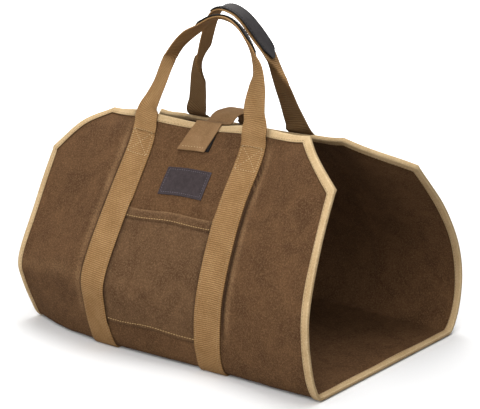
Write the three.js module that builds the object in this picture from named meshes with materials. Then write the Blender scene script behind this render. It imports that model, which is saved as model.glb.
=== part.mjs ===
// Canvas log carrier: one sheet of waxed canvas hanging in a U between two webbing straps, with a bound edge,
// two webbing handles with leather grips, a patch pocket, a leather label and a closure strap over the mouth.
// Millimetres. X runs along the logs, Y to the back, Z up. The origin is under the middle, on the floor.
import * as THREE from 'three';

// Sheet
const panelLength = 460;          // along the logs
const panelRise = 280;            // height that the sections' "up" shares follow
const halfDepth = 170;            // depth that the sections' "out" shares follow
const canvasWall = 1.8;
const cornerCut = 67;             // corner cut off, along the top edge
const cornerDrop = 74;            // and down the side
const layerGap = 0.35;            // clearance between sewn layers
const webGap = 0.6;               // clearance under the webbing
const foldSlack = 0.7;            // more clearance where the layers fold or turn

// Webbing
const webWidth = 38;
const webWall = 2;
const strapSpread = 82;           // middle of each strap from the middle of the sheet
const sewnTop = 24;               // the straps' top row of stitches, below the edge

// Edge binding
const bindWidth = 8;
const bindWall = 1;

// Pocket
const pocketTop = 119;            // below the top edge
const pocketHeight = 145;
const pocketTuck = 6;             // how far its sides reach under the straps
const pocketWall = 1.2;

// Label
const labelWidth = 64;
const labelHeight = 36;
const labelTop = 61;              // below the top edge
const labelShift = 2;
const labelWall = 1.6;

// Handles and grips
const frontRise = 120;            // middle of the webbing above the edge
const frontLean = 27;             // how far the top leans over the mouth
const backRise = 150;
const backLean = 30;
const gripLength = 110;
const gripShift = 27;             // towards the right leg
const gripWidth = 34;
const gripWall = 1.8;
const gripPoint = 12;             // length of the cut corners at each end
const gripTip = 12;               // width left at the very end

// Closure strap
const closureWidth = 38;
const closureWall = 1.8;
const tabLength = 38;             // down the front panel
const closureBack = 48;           // down the back panel
const closureShift = -1;
const tabSwing = 8;               // the front end hangs over to the left
const closureSlack = 0.15;         // more clearance over the patch
const patchWidth = 32;
const patchHeight = 21;
const patchTop = 15;
const patchWall = 1.2;

// Facets
const cornerRows = [0, bindWidth, sewnTop, 36, 54, cornerDrop];
const lowerRows = [
  { to: 'knee', rows: 9 },
  { to: 'heel', rows: 5 },
  { to: 'foot', rows: 3 },
  { to: 'middle', rows: 3 },
];

const canvasFloor = webGap + webWall;
const halfLength = panelLength / 2;
const topHalf = halfLength - cornerCut;
const strapInner = strapSpread - webWidth / 2;
const strapOuter = strapSpread + webWidth / 2;

// Front panel, a row for each section along X. along is a share of half the length; each station holds
// [out, up], shares of halfDepth and panelRise; foot is only out.
const frontSections = [
  { along: -1, edge: [0.300, 1.011], lip: [0.406, 0.904], waist: [0.735, 0.554], knee: [0.932, 0.293],
    belly: [0.906, 0.207], heel: [0.818, 0.079], foot: 0.747 },
  { along: -0.71, edge: [0.265, 0.968], lip: [0.476, 0.882], waist: [0.718, 0.607], knee: [0.982, 0.314],
    belly: [0.959, 0.214], heel: [0.900, 0.071], foot: 0.859 },
  { along: -0.44, edge: [0.388, 0.996], lip: [0.471, 0.893], waist: [0.694, 0.679], knee: [1.018, 0.329],
    belly: [1.003, 0.214], heel: [0.941, 0.071], foot: 0.888 },
  { along: -0.27, edge: [0.418, 0.995], lip: [0.471, 0.896], waist: [0.676, 0.682], knee: [1.012, 0.318],
    belly: [1.006, 0.218], heel: [0.950, 0.071], foot: 0.882 },
  { along: 0, edge: [0.271, 0.961], lip: [0.394, 0.879], waist: [0.671, 0.657], knee: [0.953, 0.329],
    belly: [0.965, 0.207], heel: [0.918, 0.071], foot: 0.865 },
  { along: 0.27, edge: [0.359, 0.996], lip: [0.409, 0.900], waist: [0.650, 0.675], knee: [0.856, 0.375],
    belly: [0.900, 0.221], heel: [0.882, 0.071], foot: 0.835 },
  { along: 0.44, edge: [0.382, 1.000], lip: [0.415, 0.911], waist: [0.650, 0.693], knee: [0.862, 0.371],
    belly: [0.894, 0.236], heel: [0.882, 0.071], foot: 0.818 },
  { along: 0.71, edge: [0.412, 1.004], lip: [0.553, 0.925], waist: [0.753, 0.657], knee: [0.903, 0.393],
    belly: [0.924, 0.236], heel: [0.876, 0.071], foot: 0.812 },
  { along: 1, edge: [0.494, 1.096], lip: [0.576, 0.982], waist: [0.824, 0.657], knee: [0.941, 0.421],
    belly: [0.944, 0.286], heel: [0.865, 0.071], foot: 0.788 },
];

// Back panel, the same columns.
const backSections = [
  { along: -1, edge: [0.259, 0.993], lip: [0.365, 0.907], waist: [0.729, 0.600], knee: [0.918, 0.386],
    belly: [0.976, 0.214], heel: [0.929, 0.071], foot: 0.847 },
  { along: -0.71, edge: [0.259, 0.914], lip: [0.376, 0.843], waist: [0.694, 0.593], knee: [0.918, 0.389],
    belly: [0.982, 0.218], heel: [0.941, 0.075], foot: 0.853 },
  { along: -0.44, edge: [0.138, 0.929], lip: [0.271, 0.868], waist: [0.665, 0.600], knee: [0.912, 0.393],
    belly: [0.994, 0.221], heel: [0.953, 0.079], foot: 0.859 },
  { along: -0.27, edge: [0.118, 0.929], lip: [0.253, 0.868], waist: [0.659, 0.600], knee: [0.906, 0.393],
    belly: [0.994, 0.221], heel: [0.953, 0.079], foot: 0.859 },
  { along: 0, edge: [0.176, 0.918], lip: [0.294, 0.850], waist: [0.671, 0.600], knee: [0.906, 0.393],
    belly: [0.988, 0.221], heel: [0.947, 0.079], foot: 0.859 },
  { along: 0.27, edge: [0.112, 0.925], lip: [0.247, 0.864], waist: [0.659, 0.604], knee: [0.906, 0.396],
    belly: [0.994, 0.221], heel: [0.953, 0.079], foot: 0.859 },
  { along: 0.44, edge: [0.124, 0.925], lip: [0.253, 0.864], waist: [0.659, 0.604], knee: [0.906, 0.396],
    belly: [0.994, 0.221], heel: [0.953, 0.079], foot: 0.859 },
  { along: 0.71, edge: [-0.018, 0.957], lip: [0.112, 0.886], waist: [0.635, 0.607], knee: [0.906, 0.400],
    belly: [0.988, 0.221], heel: [0.947, 0.079], foot: 0.853 },
  { along: 1, edge: [0.000, 1.018], lip: [0.141, 0.936], waist: [0.694, 0.611], knee: [0.924, 0.400],
    belly: [0.982, 0.236], heel: [0.929, 0.079], foot: 0.841 },
];

const stations = ['edge', 'lip', 'waist', 'knee', 'belly', 'heel'];
const sides = {
  front: { sign: -1, rows: frontSections },
  back: { sign: 1, rows: backSections },
};

// Handles, a row for each point of the webbing's middle line from the left strap to the right one. across is
// a share of strapSpread, lean of the handle's lean, rise of its rise.
const frontHandleRows = [
  { across: -0.840, lean: 0.31, rise: 0.278 },
  { across: -0.702, lean: 0.57, rise: 0.553 },
  { across: -0.534, lean: 0.70, rise: 0.718 },
  { across: -0.289, lean: 0.87, rise: 0.865 },
  { across: 0.064, lean: 0.97, rise: 0.987 },
  { across: 0.348, lean: 0.96, rise: 0.961 },
  { across: 0.609, lean: 0.88, rise: 0.825 },
  { across: 0.798, lean: 0.70, rise: 0.624 },
  { across: 0.893, lean: 0.53, rise: 0.470 },
  { across: 0.919, lean: 0.31, rise: 0.280 },
];
const backHandleRows = [
  { across: -0.942, lean: 0.15, rise: 0.113 },
  { across: -0.835, lean: 0.40, rise: 0.359 },
  { across: -0.697, lean: 0.63, rise: 0.505 },
  { across: -0.378, lean: 0.90, rise: 0.882 },
  { across: -0.121, lean: 1.00, rise: 0.963 },
  { across: 0.157, lean: 0.93, rise: 0.919 },
  { across: 0.461, lean: 0.75, rise: 0.734 },
  { across: 0.666, lean: 0.54, rise: 0.539 },
  { across: 0.794, lean: 0.27, rise: 0.298 },
];

// How each leg turns, in degrees, from flat on the panel to lying flat in the hand, at heights along the leg
// in shares of half the loop. slant moves the outer edge's turn up the leg and the inner edge's down, or the
// other way where it is negative, in millimetres.
const frontTwist = {
  left: {
    slant: -0.9,
    rows: [
      { at: 0, turn: -18 }, { at: 0.25, turn: -27 }, { at: 0.43, turn: -27 }, { at: 0.52, turn: 106 },
      { at: 0.75, turn: 99 }, { at: 1, turn: 117 },
    ],
  },
  right: {
    slant: 14.2,
    rows: [
      { at: 0, turn: 15 }, { at: 0.2, turn: 13 }, { at: 0.36, turn: 29 }, { at: 0.5, turn: 48 },
      { at: 0.64, turn: 64 }, { at: 1, turn: 79 },
    ],
  },
};
const backTwist = {
  left: {
    slant: 10.7,
    rows: [
      { at: 0, turn: 14 }, { at: 0.2, turn: 19 }, { at: 0.36, turn: 24 }, { at: 0.52, turn: 78 },
      { at: 0.75, turn: 80 }, { at: 1, turn: 94 },
    ],
  },
  right: {
    slant: -17.2,
    rows: [
      { at: 0, turn: -5 }, { at: 0.25, turn: -19 }, { at: 0.38, turn: -22 }, { at: 0.5, turn: 114 },
      { at: 0.7, turn: 106 }, { at: 1, turn: 112 },
    ],
  },
};

// Closure strap between the two edges: along is a share of the way from the front edge to the back one, rise
// is above the straight line between them, in shares of mouthArch.
const mouthArch = 18;
const closureRows = [
  { along: 0.08, rise: 0.00 },
  { along: 0.16, rise: -0.02 },
  { along: 0.23, rise: 0.10 },
  { along: 0.31, rise: 0.40 },
  { along: 0.42, rise: 0.67 },
  { along: 0.56, rise: 0.82 },
  { along: 0.72, rise: 0.93 },
  { along: 0.87, rise: 0.90 },
  { along: 0.97, rise: 0.50 },
];

const colours = {
  canvas: { color: '#6c4b31', roughness: 0.9, metalness: 0 },
  pocket: { color: '#7a5c3d', roughness: 0.9, metalness: 0 },
  binding: { color: '#dcbf8f', roughness: 0.85, metalness: 0 },
  webbing: { color: '#a5825a', roughness: 0.85, metalness: 0 },
  closure: { color: '#9f7d5c', roughness: 0.85, metalness: 0 },
  leather: { color: '#464242', roughness: 0.55, metalness: 0 },
  patch: { color: '#1c1a19', roughness: 0.95, metalness: 0 },
};

const up = new THREE.Vector3(0, 0, 1);
const lerp = THREE.MathUtils.lerp;
const clamp = THREE.MathUtils.clamp;

function smooth(t) {
  const c = clamp(t, 0, 1);
  return c * c * (3 - 2 * c);
}

// Cubic through the rows of one column of a table, at a place along X.
function tableValue(rows, along, read) {
  const last = rows.length - 1;
  let i = 0;
  while (i < last - 1 && along > rows[i + 1].along) i += 1;
  const slopeAt = (k) => {
    const a = Math.max(k - 1, 0);
    const b = Math.min(k + 1, last);
    return (read(rows[b]) - read(rows[a])) / (rows[b].along - rows[a].along);
  };
  const width = rows[i + 1].along - rows[i].along;
  const t = (along - rows[i].along) / width;
  const t2 = t * t;
  const t3 = t2 * t;
  return (2 * t3 - 3 * t2 + 1) * read(rows[i]) + (t3 - 2 * t2 + t) * width * slopeAt(i)
    + (3 * t2 - 2 * t3) * read(rows[i + 1]) + (t3 - t2) * width * slopeAt(i + 1);
}

// One section of a panel at x, as points with their distance down the cloth from the top edge.
const sectionCache = new Map();
function section(sideName, x) {
  const key = `${sideName} ${x.toFixed(3)}`;
  if (sectionCache.has(key)) return sectionCache.get(key);
  const { sign, rows } = sides[sideName];
  const along = x / halfLength;
  const points = stations.map((station) => new THREE.Vector3(
    x,
    sign * halfDepth * tableValue(rows, along, (row) => row[station][0]),
    panelRise * tableValue(rows, along, (row) => row[station][1]),
  ));
  const footOut = halfDepth * tableValue(rows, along, (row) => row.foot);
  points.push(new THREE.Vector3(x, sign * footOut, canvasFloor));
  points.push(new THREE.Vector3(x, sign * footOut * 0.8, canvasFloor));
  points.push(new THREE.Vector3(x, 0, canvasFloor));
  const samples = new THREE.CatmullRomCurve3(points, false, 'centripetal').getPoints(240);
  samples.forEach((p) => { p.z = Math.max(p.z, canvasFloor); });
  const lengths = [0];
  for (let i = 1; i < samples.length; i += 1) {
    lengths.push(lengths[i - 1] + samples[i].distanceTo(samples[i - 1]));
  }
  const lengthAt = (k) => lengths[Math.round(240 * k / (points.length - 1))];
  const stops = {
    knee: lengthAt(stations.indexOf('knee')),
    heel: lengthAt(stations.indexOf('heel')),
    foot: lengthAt(stations.length),
    middle: lengths[lengths.length - 1],
  };
  const result = { samples, lengths, stops };
  sectionCache.set(key, result);
  return result;
}

function sectionPoint(sideName, x, d) {
  const { samples, lengths } = section(sideName, x);
  if (d <= 0) {
    const edgeDirection = samples[0].clone().sub(samples[3]).normalize();
    return samples[0].clone().addScaledVector(edgeDirection, -d);
  }
  let low = 0;
  let high = lengths.length - 1;
  while (high - low > 1) {
    const middle = (low + high) >> 1;
    if (lengths[middle] <= d) low = middle;
    else high = middle;
  }
  return samples[low].clone().lerp(samples[high], (d - lengths[low]) / (lengths[high] - lengths[low]));
}

// Columns of the sheet. Those inside the straps' outer edges stay at their x; the outer ones follow the cut
// corners.
const halfColumns = [strapInner / 3, strapInner, strapSpread, strapOuter];
const innerColumns = [...halfColumns.slice().reverse().map((x) => -x), ...halfColumns];
const outerShares = [0.33, 0.67, 1];
function columnsAt(d) {
  const half = Math.min(halfLength, topHalf + Math.max(d, 0) * cornerCut / cornerDrop);
  const reach = half - bindWidth - strapOuter;
  const outer = outerShares.map((share) => strapOuter + share * reach).concat([half]);
  return [...outer.slice().reverse().map((x) => -x), ...innerColumns, ...outer];
}
const fullColumns = columnsAt(cornerDrop);

// Rows of one panel: fixed distances down to the end of the cut corner, and below that shares of the way
// from one stop of the section to the next.
const lowRows = lowerRows.flatMap(({ rows }, leg) => (
  Array.from({ length: rows }, (_, i) => ({ leg, share: (i + 1) / rows }))));

function distanceOf(sideName, x, { leg, share }) {
  const { stops } = section(sideName, x);
  const from = leg === 0 ? cornerDrop : stops[lowerRows[leg - 1].to];
  return lerp(from, stops[lowerRows[leg].to], share);
}

const lastRow = cornerRows.length - 1;

function rowDistance(sideName, x, row) {
  return row <= lastRow ? cornerRows[row] : distanceOf(sideName, x, lowRows[row - lastRow - 1]);
}

// A point of the sheet's outer face, on the flat facets between its rows and columns.
function sheetPoint(sideName, x, d) {
  let i = 0;
  while (i < fullColumns.length - 2 && x > fullColumns[i + 1]) i += 1;
  const xa = fullColumns[i];
  const xb = fullColumns[i + 1];
  const u = (x - xa) / (xb - xa);
  if (d <= 0) return sectionPoint(sideName, xa, d).lerp(sectionPoint(sideName, xb, d), u);
  const rowAt = (row) => lerp(rowDistance(sideName, xa, row), rowDistance(sideName, xb, row), u);
  let row = 0;
  while (row < lastRow + lowRows.length - 1 && d > rowAt(row + 1)) row += 1;
  const v = (d - rowAt(row)) / (rowAt(row + 1) - rowAt(row));
  const corner = (column, k) => sectionPoint(sideName, column, rowDistance(sideName, column, k));
  const upperA = corner(xa, row);
  const lowerA = corner(xa, row + 1);
  const upperB = corner(xb, row);
  const lowerB = corner(xb, row + 1);
  const mix = (base, p, pShare, q, qShare) => base.clone()
    .addScaledVector(p.clone().sub(base), pShare).addScaledVector(q.clone().sub(base), qShare);
  if (sideName === 'front') {
    return v > u ? mix(lowerA, upperA, 1 - v, lowerB, u) : mix(upperB, upperA, 1 - u, lowerB, v);
  }
  return u + v < 1 ? mix(upperA, lowerA, v, upperB, u) : mix(lowerB, lowerA, 1 - u, upperB, 1 - v);
}

// Distance of one of the sheet's rows at any x.
function sheetRowDistance(sideName, x, row) {
  let i = 0;
  while (i < fullColumns.length - 2 && x > fullColumns[i + 1]) i += 1;
  const u = (x - fullColumns[i]) / (fullColumns[i + 1] - fullColumns[i]);
  return lerp(rowDistance(sideName, fullColumns[i], row), rowDistance(sideName, fullColumns[i + 1], row), u);
}

function sheetTotal(sideName, x) {
  let i = 0;
  while (i < fullColumns.length - 2 && x > fullColumns[i + 1]) i += 1;
  const t = (x - fullColumns[i]) / (fullColumns[i + 1] - fullColumns[i]);
  return lerp(section(sideName, fullColumns[i]).stops.middle, section(sideName, fullColumns[i + 1]).stops.middle, t);
}

function sheetNormal(sideName, x, d) {
  const step = 3;
  const total = sheetTotal(sideName, x);
  const dLow = Math.min(d + step, total - 0.01);
  const alongX = sheetPoint(sideName, x + step, d).sub(sheetPoint(sideName, x - step, d));
  const down = sheetPoint(sideName, x, dLow).sub(sheetPoint(sideName, x, Math.max(d, 0) - step));
  const normal = down.cross(alongX).normalize();
  return sideName === 'front' ? normal : normal.negate();
}

function offSheet(sideName, x, d, offset) {
  return sheetPoint(sideName, x, d).addScaledVector(sheetNormal(sideName, x, d), offset);
}

// Rows of a plate on the front panel from one distance to another, as functions of x, that follow the
// sheet's own rows in between.
function rowsBetween(middle, from, to) {
  const inside = [];
  for (let row = 0; row <= lastRow + lowRows.length; row += 1) {
    const d = sheetRowDistance('front', middle, row);
    if (d > from + 4 && d < to - 4) inside.push((x) => sheetRowDistance('front', x, row));
  }
  return [() => from, ...inside, () => to];
}

// A closed mesh from a grid of points on its outer face and the matching grid on its inner face.
function slabGeometry(outer, inner) {
  const rows = outer.length;
  const columns = outer[0].length;
  const positions = [];
  [outer, inner].forEach((grid) => grid.forEach((row) => row.forEach((p) => positions.push(p.x, p.y, p.z))));
  const at = (face, r, c) => face * rows * columns + r * columns + c;
  const index = [];
  const quad = (a, b, c, d) => index.push(a, b, c, a, c, d);
  for (let r = 0; r < rows - 1; r += 1) {
    for (let c = 0; c < columns - 1; c += 1) {
      quad(at(0, r, c), at(0, r + 1, c), at(0, r + 1, c + 1), at(0, r, c + 1));
      quad(at(1, r, c), at(1, r, c + 1), at(1, r + 1, c + 1), at(1, r + 1, c));
    }
    quad(at(0, r, 0), at(1, r, 0), at(1, r + 1, 0), at(0, r + 1, 0));
    quad(at(0, r, columns - 1), at(0, r + 1, columns - 1), at(1, r + 1, columns - 1), at(1, r, columns - 1));
  }
  for (let c = 0; c < columns - 1; c += 1) {
    quad(at(0, 0, c), at(0, 0, c + 1), at(1, 0, c + 1), at(1, 0, c));
    quad(at(0, rows - 1, c), at(1, rows - 1, c), at(1, rows - 1, c + 1), at(0, rows - 1, c + 1));
  }
  return outwardGeometry(positions, index);
}

// A closed ring or bar from sections that all have the same number of points round them.
// splitAlong says which diagonal of each quad is its fold.
function loftGeometry(sections, closedLoop, splitAlong) {
  const count = sections[0].length;
  const positions = [];
  sections.forEach((ring) => ring.forEach((p) => positions.push(p.x, p.y, p.z)));
  const index = [];
  const spans = closedLoop ? sections.length : sections.length - 1;
  for (let s = 0; s < spans; s += 1) {
    const next = (s + 1) % sections.length;
    for (let k = 0; k < count; k += 1) {
      const a = s * count + k;
      const b = s * count + (k + 1) % count;
      const c = next * count + (k + 1) % count;
      const d = next * count + k;
      if (splitAlong && splitAlong(sections[s][k], sections[next][(k + 1) % count])) {
        index.push(a, b, c, a, c, d);
      } else {
        index.push(a, b, d, b, c, d);
      }
    }
  }
  return outwardGeometry(positions, index);
}

// Turns the faces outward where the enclosed volume comes out negative.
function outwardGeometry(positions, index) {
  let volume = 0;
  const point = (i) => new THREE.Vector3().fromArray(positions, 3 * i);
  for (let t = 0; t < index.length; t += 3) {
    volume += point(index[t]).dot(point(index[t + 1]).cross(point(index[t + 2])));
  }
  if (volume < 0) {
    for (let t = 0; t < index.length; t += 3) [index[t + 1], index[t + 2]] = [index[t + 2], index[t + 1]];
  }
  const geometry = new THREE.BufferGeometry();
  geometry.setAttribute('position', new THREE.Float32BufferAttribute(positions, 3));
  geometry.setIndex(index);
  geometry.computeVertexNormals();
  return geometry;
}

// Sheet

// Every row of the sheet from the front edge under the floor to the back edge.
function sheetRows() {
  const rows = cornerRows.map((d) => ({ side: 'front', distance: () => d, columns: columnsAt(d) }));
  lowRows.forEach((low) => {
    rows.push({ side: 'front', distance: (x) => distanceOf('front', x, low), columns: fullColumns });
  });
  lowRows.slice(0, -1).reverse().forEach((low) => {
    rows.push({ side: 'back', distance: (x) => distanceOf('back', x, low), columns: fullColumns });
  });
  cornerRows.slice().reverse().forEach((d) => {
    rows.push({ side: 'back', distance: () => d, columns: columnsAt(d) });
  });
  return rows;
}

function canvasGeometry() {
  const rows = sheetRows();
  const face = (offset) => rows.map(({ side, distance, columns }) => (
    columns.map((x) => offSheet(side, x, distance(x), offset))));
  return slabGeometry(face(0), face(-canvasWall));
}

// Edge binding

// The way round the sheet's edge. Each stop gives the place on the sheet at a depth in from the edge, with
// the corners mitred.
function edgeStops() {
  const cutLength = Math.hypot(cornerCut, cornerDrop);
  const intoCut = [cornerDrop / cutLength, cornerCut / cutLength];
  const topMitre = intoCut[0] / (1 + intoCut[1]);
  const sideMitre = intoCut[1] / (1 + intoCut[0]);
  const stops = [];
  const place = (side, x, d, inX, inD, slack = foldSlack) => stops.push({
    side, x, d, slack, at: (inward) => [x + inX * inward, d + inD * inward],
  });
  const across = (side, sign) => {
    place(side, -sign * topHalf, 0, sign * topMitre, 1);
    columnsAt(0).slice(1, -1).forEach((x) => (
      place(side, sign * x, 0, 0, 1, Math.abs(x) > strapOuter ? foldSlack : 0)));
    place(side, sign * topHalf, 0, -sign * topMitre, 1);
  };
  const cut = (side, sign, distances) => distances.forEach((d) => (
    place(side, sign * (topHalf + d * cornerCut / cornerDrop), d, -sign * intoCut[0], intoCut[1])));
  const run = (side, sign, lows) => lows.forEach((low) => {
    const x = sign * halfLength;
    stops.push({
      side,
      x,
      d: distanceOf(side, x, low),
      slack: 0,
      at: (inward) => [x - sign * inward, distanceOf(side, x - sign * Math.max(inward, 0), low)],
    });
  });
  const corner = (side, sign) => place(side, sign * halfLength, cornerDrop, -sign, sideMitre);
  const cutRows = cornerRows.slice(1, -1);
  const lower = lowRows.slice(0, -1);
  across('front', 1);
  cut('front', 1, cutRows);
  corner('front', 1);
  run('front', 1, lowRows);
  run('back', 1, lower.slice().reverse());
  corner('back', 1);
  cut('back', 1, cutRows.slice().reverse());
  across('back', -1);
  cut('back', -1, cutRows);
  corner('back', -1);
  run('back', -1, lowRows);
  run('front', -1, lower.slice().reverse());
  corner('front', -1);
  cut('front', -1, cutRows.slice().reverse());
  return stops;
}

function bindingGeometry() {
  const profileAt = (near, far) => [
    [bindWidth, far], [-far, far], [-far, -canvasWall - far], [bindWidth, -canvasWall - far],
    [bindWidth, -canvasWall - near], [-near, -canvasWall - near], [-near, near], [bindWidth, near],
  ];
  const rings = edgeStops().map(({ side, x, d, at, slack }) => profileAt(
    layerGap + slack, layerGap + slack + bindWall,
  ).map(([inward, offset]) => {
    const [px, pd] = at(inward);
    const normal = inward > 0 ? sheetNormal(side, px, pd) : sheetNormal(side, x, d);
    const point = sheetPoint(side, px, pd).addScaledVector(normal, offset);
    point.sheetPlace = [px, side === 'front' ? pd : -pd];
    return point;
  }));
  const foldsWithSheet = (a, b) => {
    const alongX = b.sheetPlace[0] - a.sheetPlace[0];
    return alongX * (b.sheetPlace[1] - a.sheetPlace[1]) > 0;
  };
  return loftGeometry(rings, true, foldsWithSheet);
}

// Straps

// How far the strap stands off the sheet to clear the pocket's side.
function strapLift(side, beside, d) {
  if (side === 'back') return 0;
  const ramp = 14;
  const along = smooth((d - pocketTop + ramp) / ramp) * smooth((pocketTop + pocketHeight + ramp - d) / ramp);
  const across = smooth((webWidth / 2 - beside) / (webWidth / 2 - pocketTuck - 1));
  return along * across * (pocketWall + layerGap);
}

function strapGeometry(sign) {
  const stops = [0, pocketTuck + 1, webWidth / 2, webWidth];
  const grid = (offset) => {
    const line = (side, distances) => distances.map((distance) => stops.map((beside) => {
      const x = sign * (strapInner + beside);
      const d = distance(x);
      return offSheet(side, x, d, offset + strapLift(side, beside, d));
    }));
    const start = sewnTop + layerGap;
    const top = [() => start, ...cornerRows.filter((d) => d > start + 3).map((d) => () => d)];
    const low = (side) => lowRows.map((_, i) => (x) => sheetRowDistance(side, x, lastRow + 1 + i));
    const front = line('front', [...top, ...low('front')]);
    const back = line('back', [...top, ...low('back').slice(0, -1)]).reverse();
    return [...front, ...back];
  };
  return slabGeometry(grid(webGap + webWall), grid(webGap));
}

// Pocket and label

function plateGeometry({ from, to, columns, offset, wall }) {
  const rows = rowsBetween(columns[columns.length >> 1], from, to);
  const grid = (rise) => rows.map((distance) => columns.map((x) => offSheet('front', x, distance(x), rise)));
  return slabGeometry(grid(offset + wall), grid(offset));
}

function pocketGeometry() {
  const side = strapInner + pocketTuck;
  const columns = [-side, -strapInner, -strapInner / 3, strapInner / 3, strapInner, side];
  return plateGeometry({
    from: pocketTop, to: pocketTop + pocketHeight, columns, offset: layerGap, wall: pocketWall,
  });
}

function labelGeometry() {
  const columns = [-0.5, -strapInner / 3 / labelWidth, strapInner / 3 / labelWidth, 0.5]
    .map((share) => labelShift + share * labelWidth);
  return plateGeometry({
    from: labelTop, to: labelTop + labelHeight, columns, offset: layerGap, wall: labelWall,
  });
}

function patchGeometry() {
  const columns = [-0.5, 0, 0.5].map((share) => closureShift + share * patchWidth);
  return plateGeometry({
    from: patchTop, to: patchTop + patchHeight, columns, offset: layerGap, wall: patchWall,
  });
}

// Handles

const sewnOffset = 2 * layerGap + foldSlack + bindWall + webWall / 2;

// The free loop of one handle: its middle line, and at each step the directions that the webbing turns in.
function handleFrames(handle) {
  const { side, rise, lean, rows } = handle;
  const { sign } = sides[side];
  const foot = (x) => offSheet(side, x, 0, sewnOffset);
  const left = foot(-strapSpread);
  const right = foot(strapSpread);
  const inner = rows.map((row) => {
    const base = left.clone().lerp(right, (row.across + 1) / 2);
    return new THREE.Vector3(row.across * strapSpread, base.y - sign * row.lean * lean, base.z + row.rise * rise);
  });
  const curve = new THREE.CatmullRomCurve3([left, ...inner, right], false, 'centripetal');
  const length = curve.getLength();
  const out = new THREE.Vector3(0, sign * rise, lean).normalize();
  return { curve, length, out, sign, foot };
}

// The direction that the webbing's outer face looks in at a distance along the loop, for a place across it
// (inner edge positive). It is shorter than 1 where the webbing creases from one turn to the next.
function faceAt(twist, distance, length, beside, facing, arch) {
  const turned = (degrees) => {
    const turn = THREE.MathUtils.degToRad(degrees);
    return facing.clone().multiplyScalar(Math.cos(turn)).addScaledVector(arch, -Math.sin(turn));
  };
  const leg = (fromFoot, { slant, rows }) => {
    const at = clamp((fromFoot + slant * beside / (webWidth / 2)) / (length / 2), 0, 1);
    let i = 0;
    while (i < rows.length - 2 && at > rows[i + 1].at) i += 1;
    const share = smooth((at - rows[i].at) / (rows[i + 1].at - rows[i].at));
    return turned(rows[i].turn).lerp(turned(rows[i + 1].turn), share);
  };
  const share = smooth((distance / length - 0.4) / 0.2);
  return leg(distance, twist.left).lerp(leg(length - distance, twist.right), share);
}

// Points across the webbing at one distance along the loop, each with its normal on the webbing's outer side.
function webSection(frames, twist, distance, places) {
  const { curve, length, out, sign } = frames;
  const u = clamp(distance / length, 0, 1);
  const centre = curve.getPointAt(u);
  const along = curve.getTangentAt(u);
  const facing = out.clone().addScaledVector(along, -out.dot(along)).normalize();
  const arch = along.clone().cross(facing).multiplyScalar(sign);
  const outward = (beside) => faceAt(twist, distance, length, beside, facing, arch);
  const acrossAt = (beside) => along.clone().cross(outward(beside)).multiplyScalar(-sign);
  const steps = 4;
  const point = (beside) => {
    const p = centre.clone();
    for (let i = 0; i < steps; i += 1) {
      p.addScaledVector(acrossAt(beside * (i + 0.5) / steps), beside / steps);
    }
    return p;
  };
  return places.map((beside) => ({ point: point(beside), normal: outward(beside).normalize() }));
}

// Distances along the loop of the grip's rows, closer together at its pointed ends.
function gripStops(length) {
  const start = length / 2 + gripShift - gripLength / 2;
  const count = 12;
  const stops = [0, gripPoint / 2];
  for (let i = 0; i <= count; i += 1) stops.push(lerp(gripPoint, gripLength - gripPoint, i / count));
  stops.push(gripLength - gripPoint / 2, gripLength);
  return stops.map((s) => start + s);
}

// Rows of a handle's webbing: sewn to the panel, let go at the edge, and free round the loop.
function handleRows(handle) {
  const frames = handleFrames(handle);
  const { side, twist } = handle;
  const places = [-0.5, -0.25, 0, 0.25, 0.5].map((share) => share * webWidth);
  const release = 16;
  const panel = (legSign, d) => places.map((beside) => {
    const x = legSign * (strapSpread - beside);
    const settle = smooth(1 - (d - bindWidth) / 8);
    const offset = lerp(webGap + webWall / 2, sewnOffset, settle);
    return { point: offSheet(side, x, d, offset), normal: sheetNormal(side, x, d) };
  });
  const blended = (legSign, above) => {
    const distance = legSign < 0 ? above : frames.length - above;
    const free = webSection(frames, twist, distance, places);
    const share = smooth(above / release);
    return panel(legSign, -above).map((sewn, i) => ({
      point: sewn.point.lerp(free[i].point, share),
      normal: sewn.normal.lerp(free[i].normal, share).normalize(),
    }));
  };
  const sewn = [sewnTop - layerGap, 18, bindWidth + 1, 5];
  const lower = [0, 4, 8, 12];
  const grip = gripStops(frames.length);
  const legRows = (from, to) => {
    const count = Math.round(Math.abs(to - from) / 8);
    return Array.from({ length: count }, (_, i) => lerp(from, to, i / count));
  };
  const free = [
    ...legRows(release, grip[0]), ...grip,
    ...legRows(frames.length - release, grip[grip.length - 1]).reverse(),
  ];
  return {
    frames,
    rows: [
      ...sewn.map((d) => panel(-1, d)),
      ...lower.map((above) => blended(-1, above)),
      ...free.map((distance) => webSection(frames, twist, distance, places)),
      ...lower.slice().reverse().map((above) => blended(1, above)),
      ...sewn.slice().reverse().map((d) => panel(1, d)),
    ],
  };
}

function ribbonGeometry(rows, low, high) {
  const grid = (offset) => rows.map((row) => (
    row.map(({ point, normal }) => point.clone().addScaledVector(normal, offset))));
  return slabGeometry(grid(high), grid(low));
}

function handleGeometry(handle) {
  return ribbonGeometry(handleRows(handle).rows, -webWall / 2, webWall / 2);
}

function gripGeometry(handle) {
  const frames = handleFrames(handle);
  const stops = gripStops(frames.length);
  const rows = stops.map((s) => {
    const end = Math.min(s - stops[0], stops[stops.length - 1] - s);
    const width = lerp(gripTip, gripWidth, Math.min(1, end / gripPoint));
    const places = [-0.5, -0.25, 0, 0.25, 0.5].map((share) => share * width);
    return webSection(frames, handle.twist, s, places);
  });
  const near = -(webWall / 2 + layerGap + foldSlack);
  return ribbonGeometry(rows, near - gripWall, near);
}

const handles = {
  front: { side: 'front', rise: frontRise, lean: frontLean, rows: frontHandleRows, twist: frontTwist },
  back: { side: 'back', rise: backRise, lean: backLean, rows: backHandleRows, twist: backTwist },
};

// Closure strap

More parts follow.
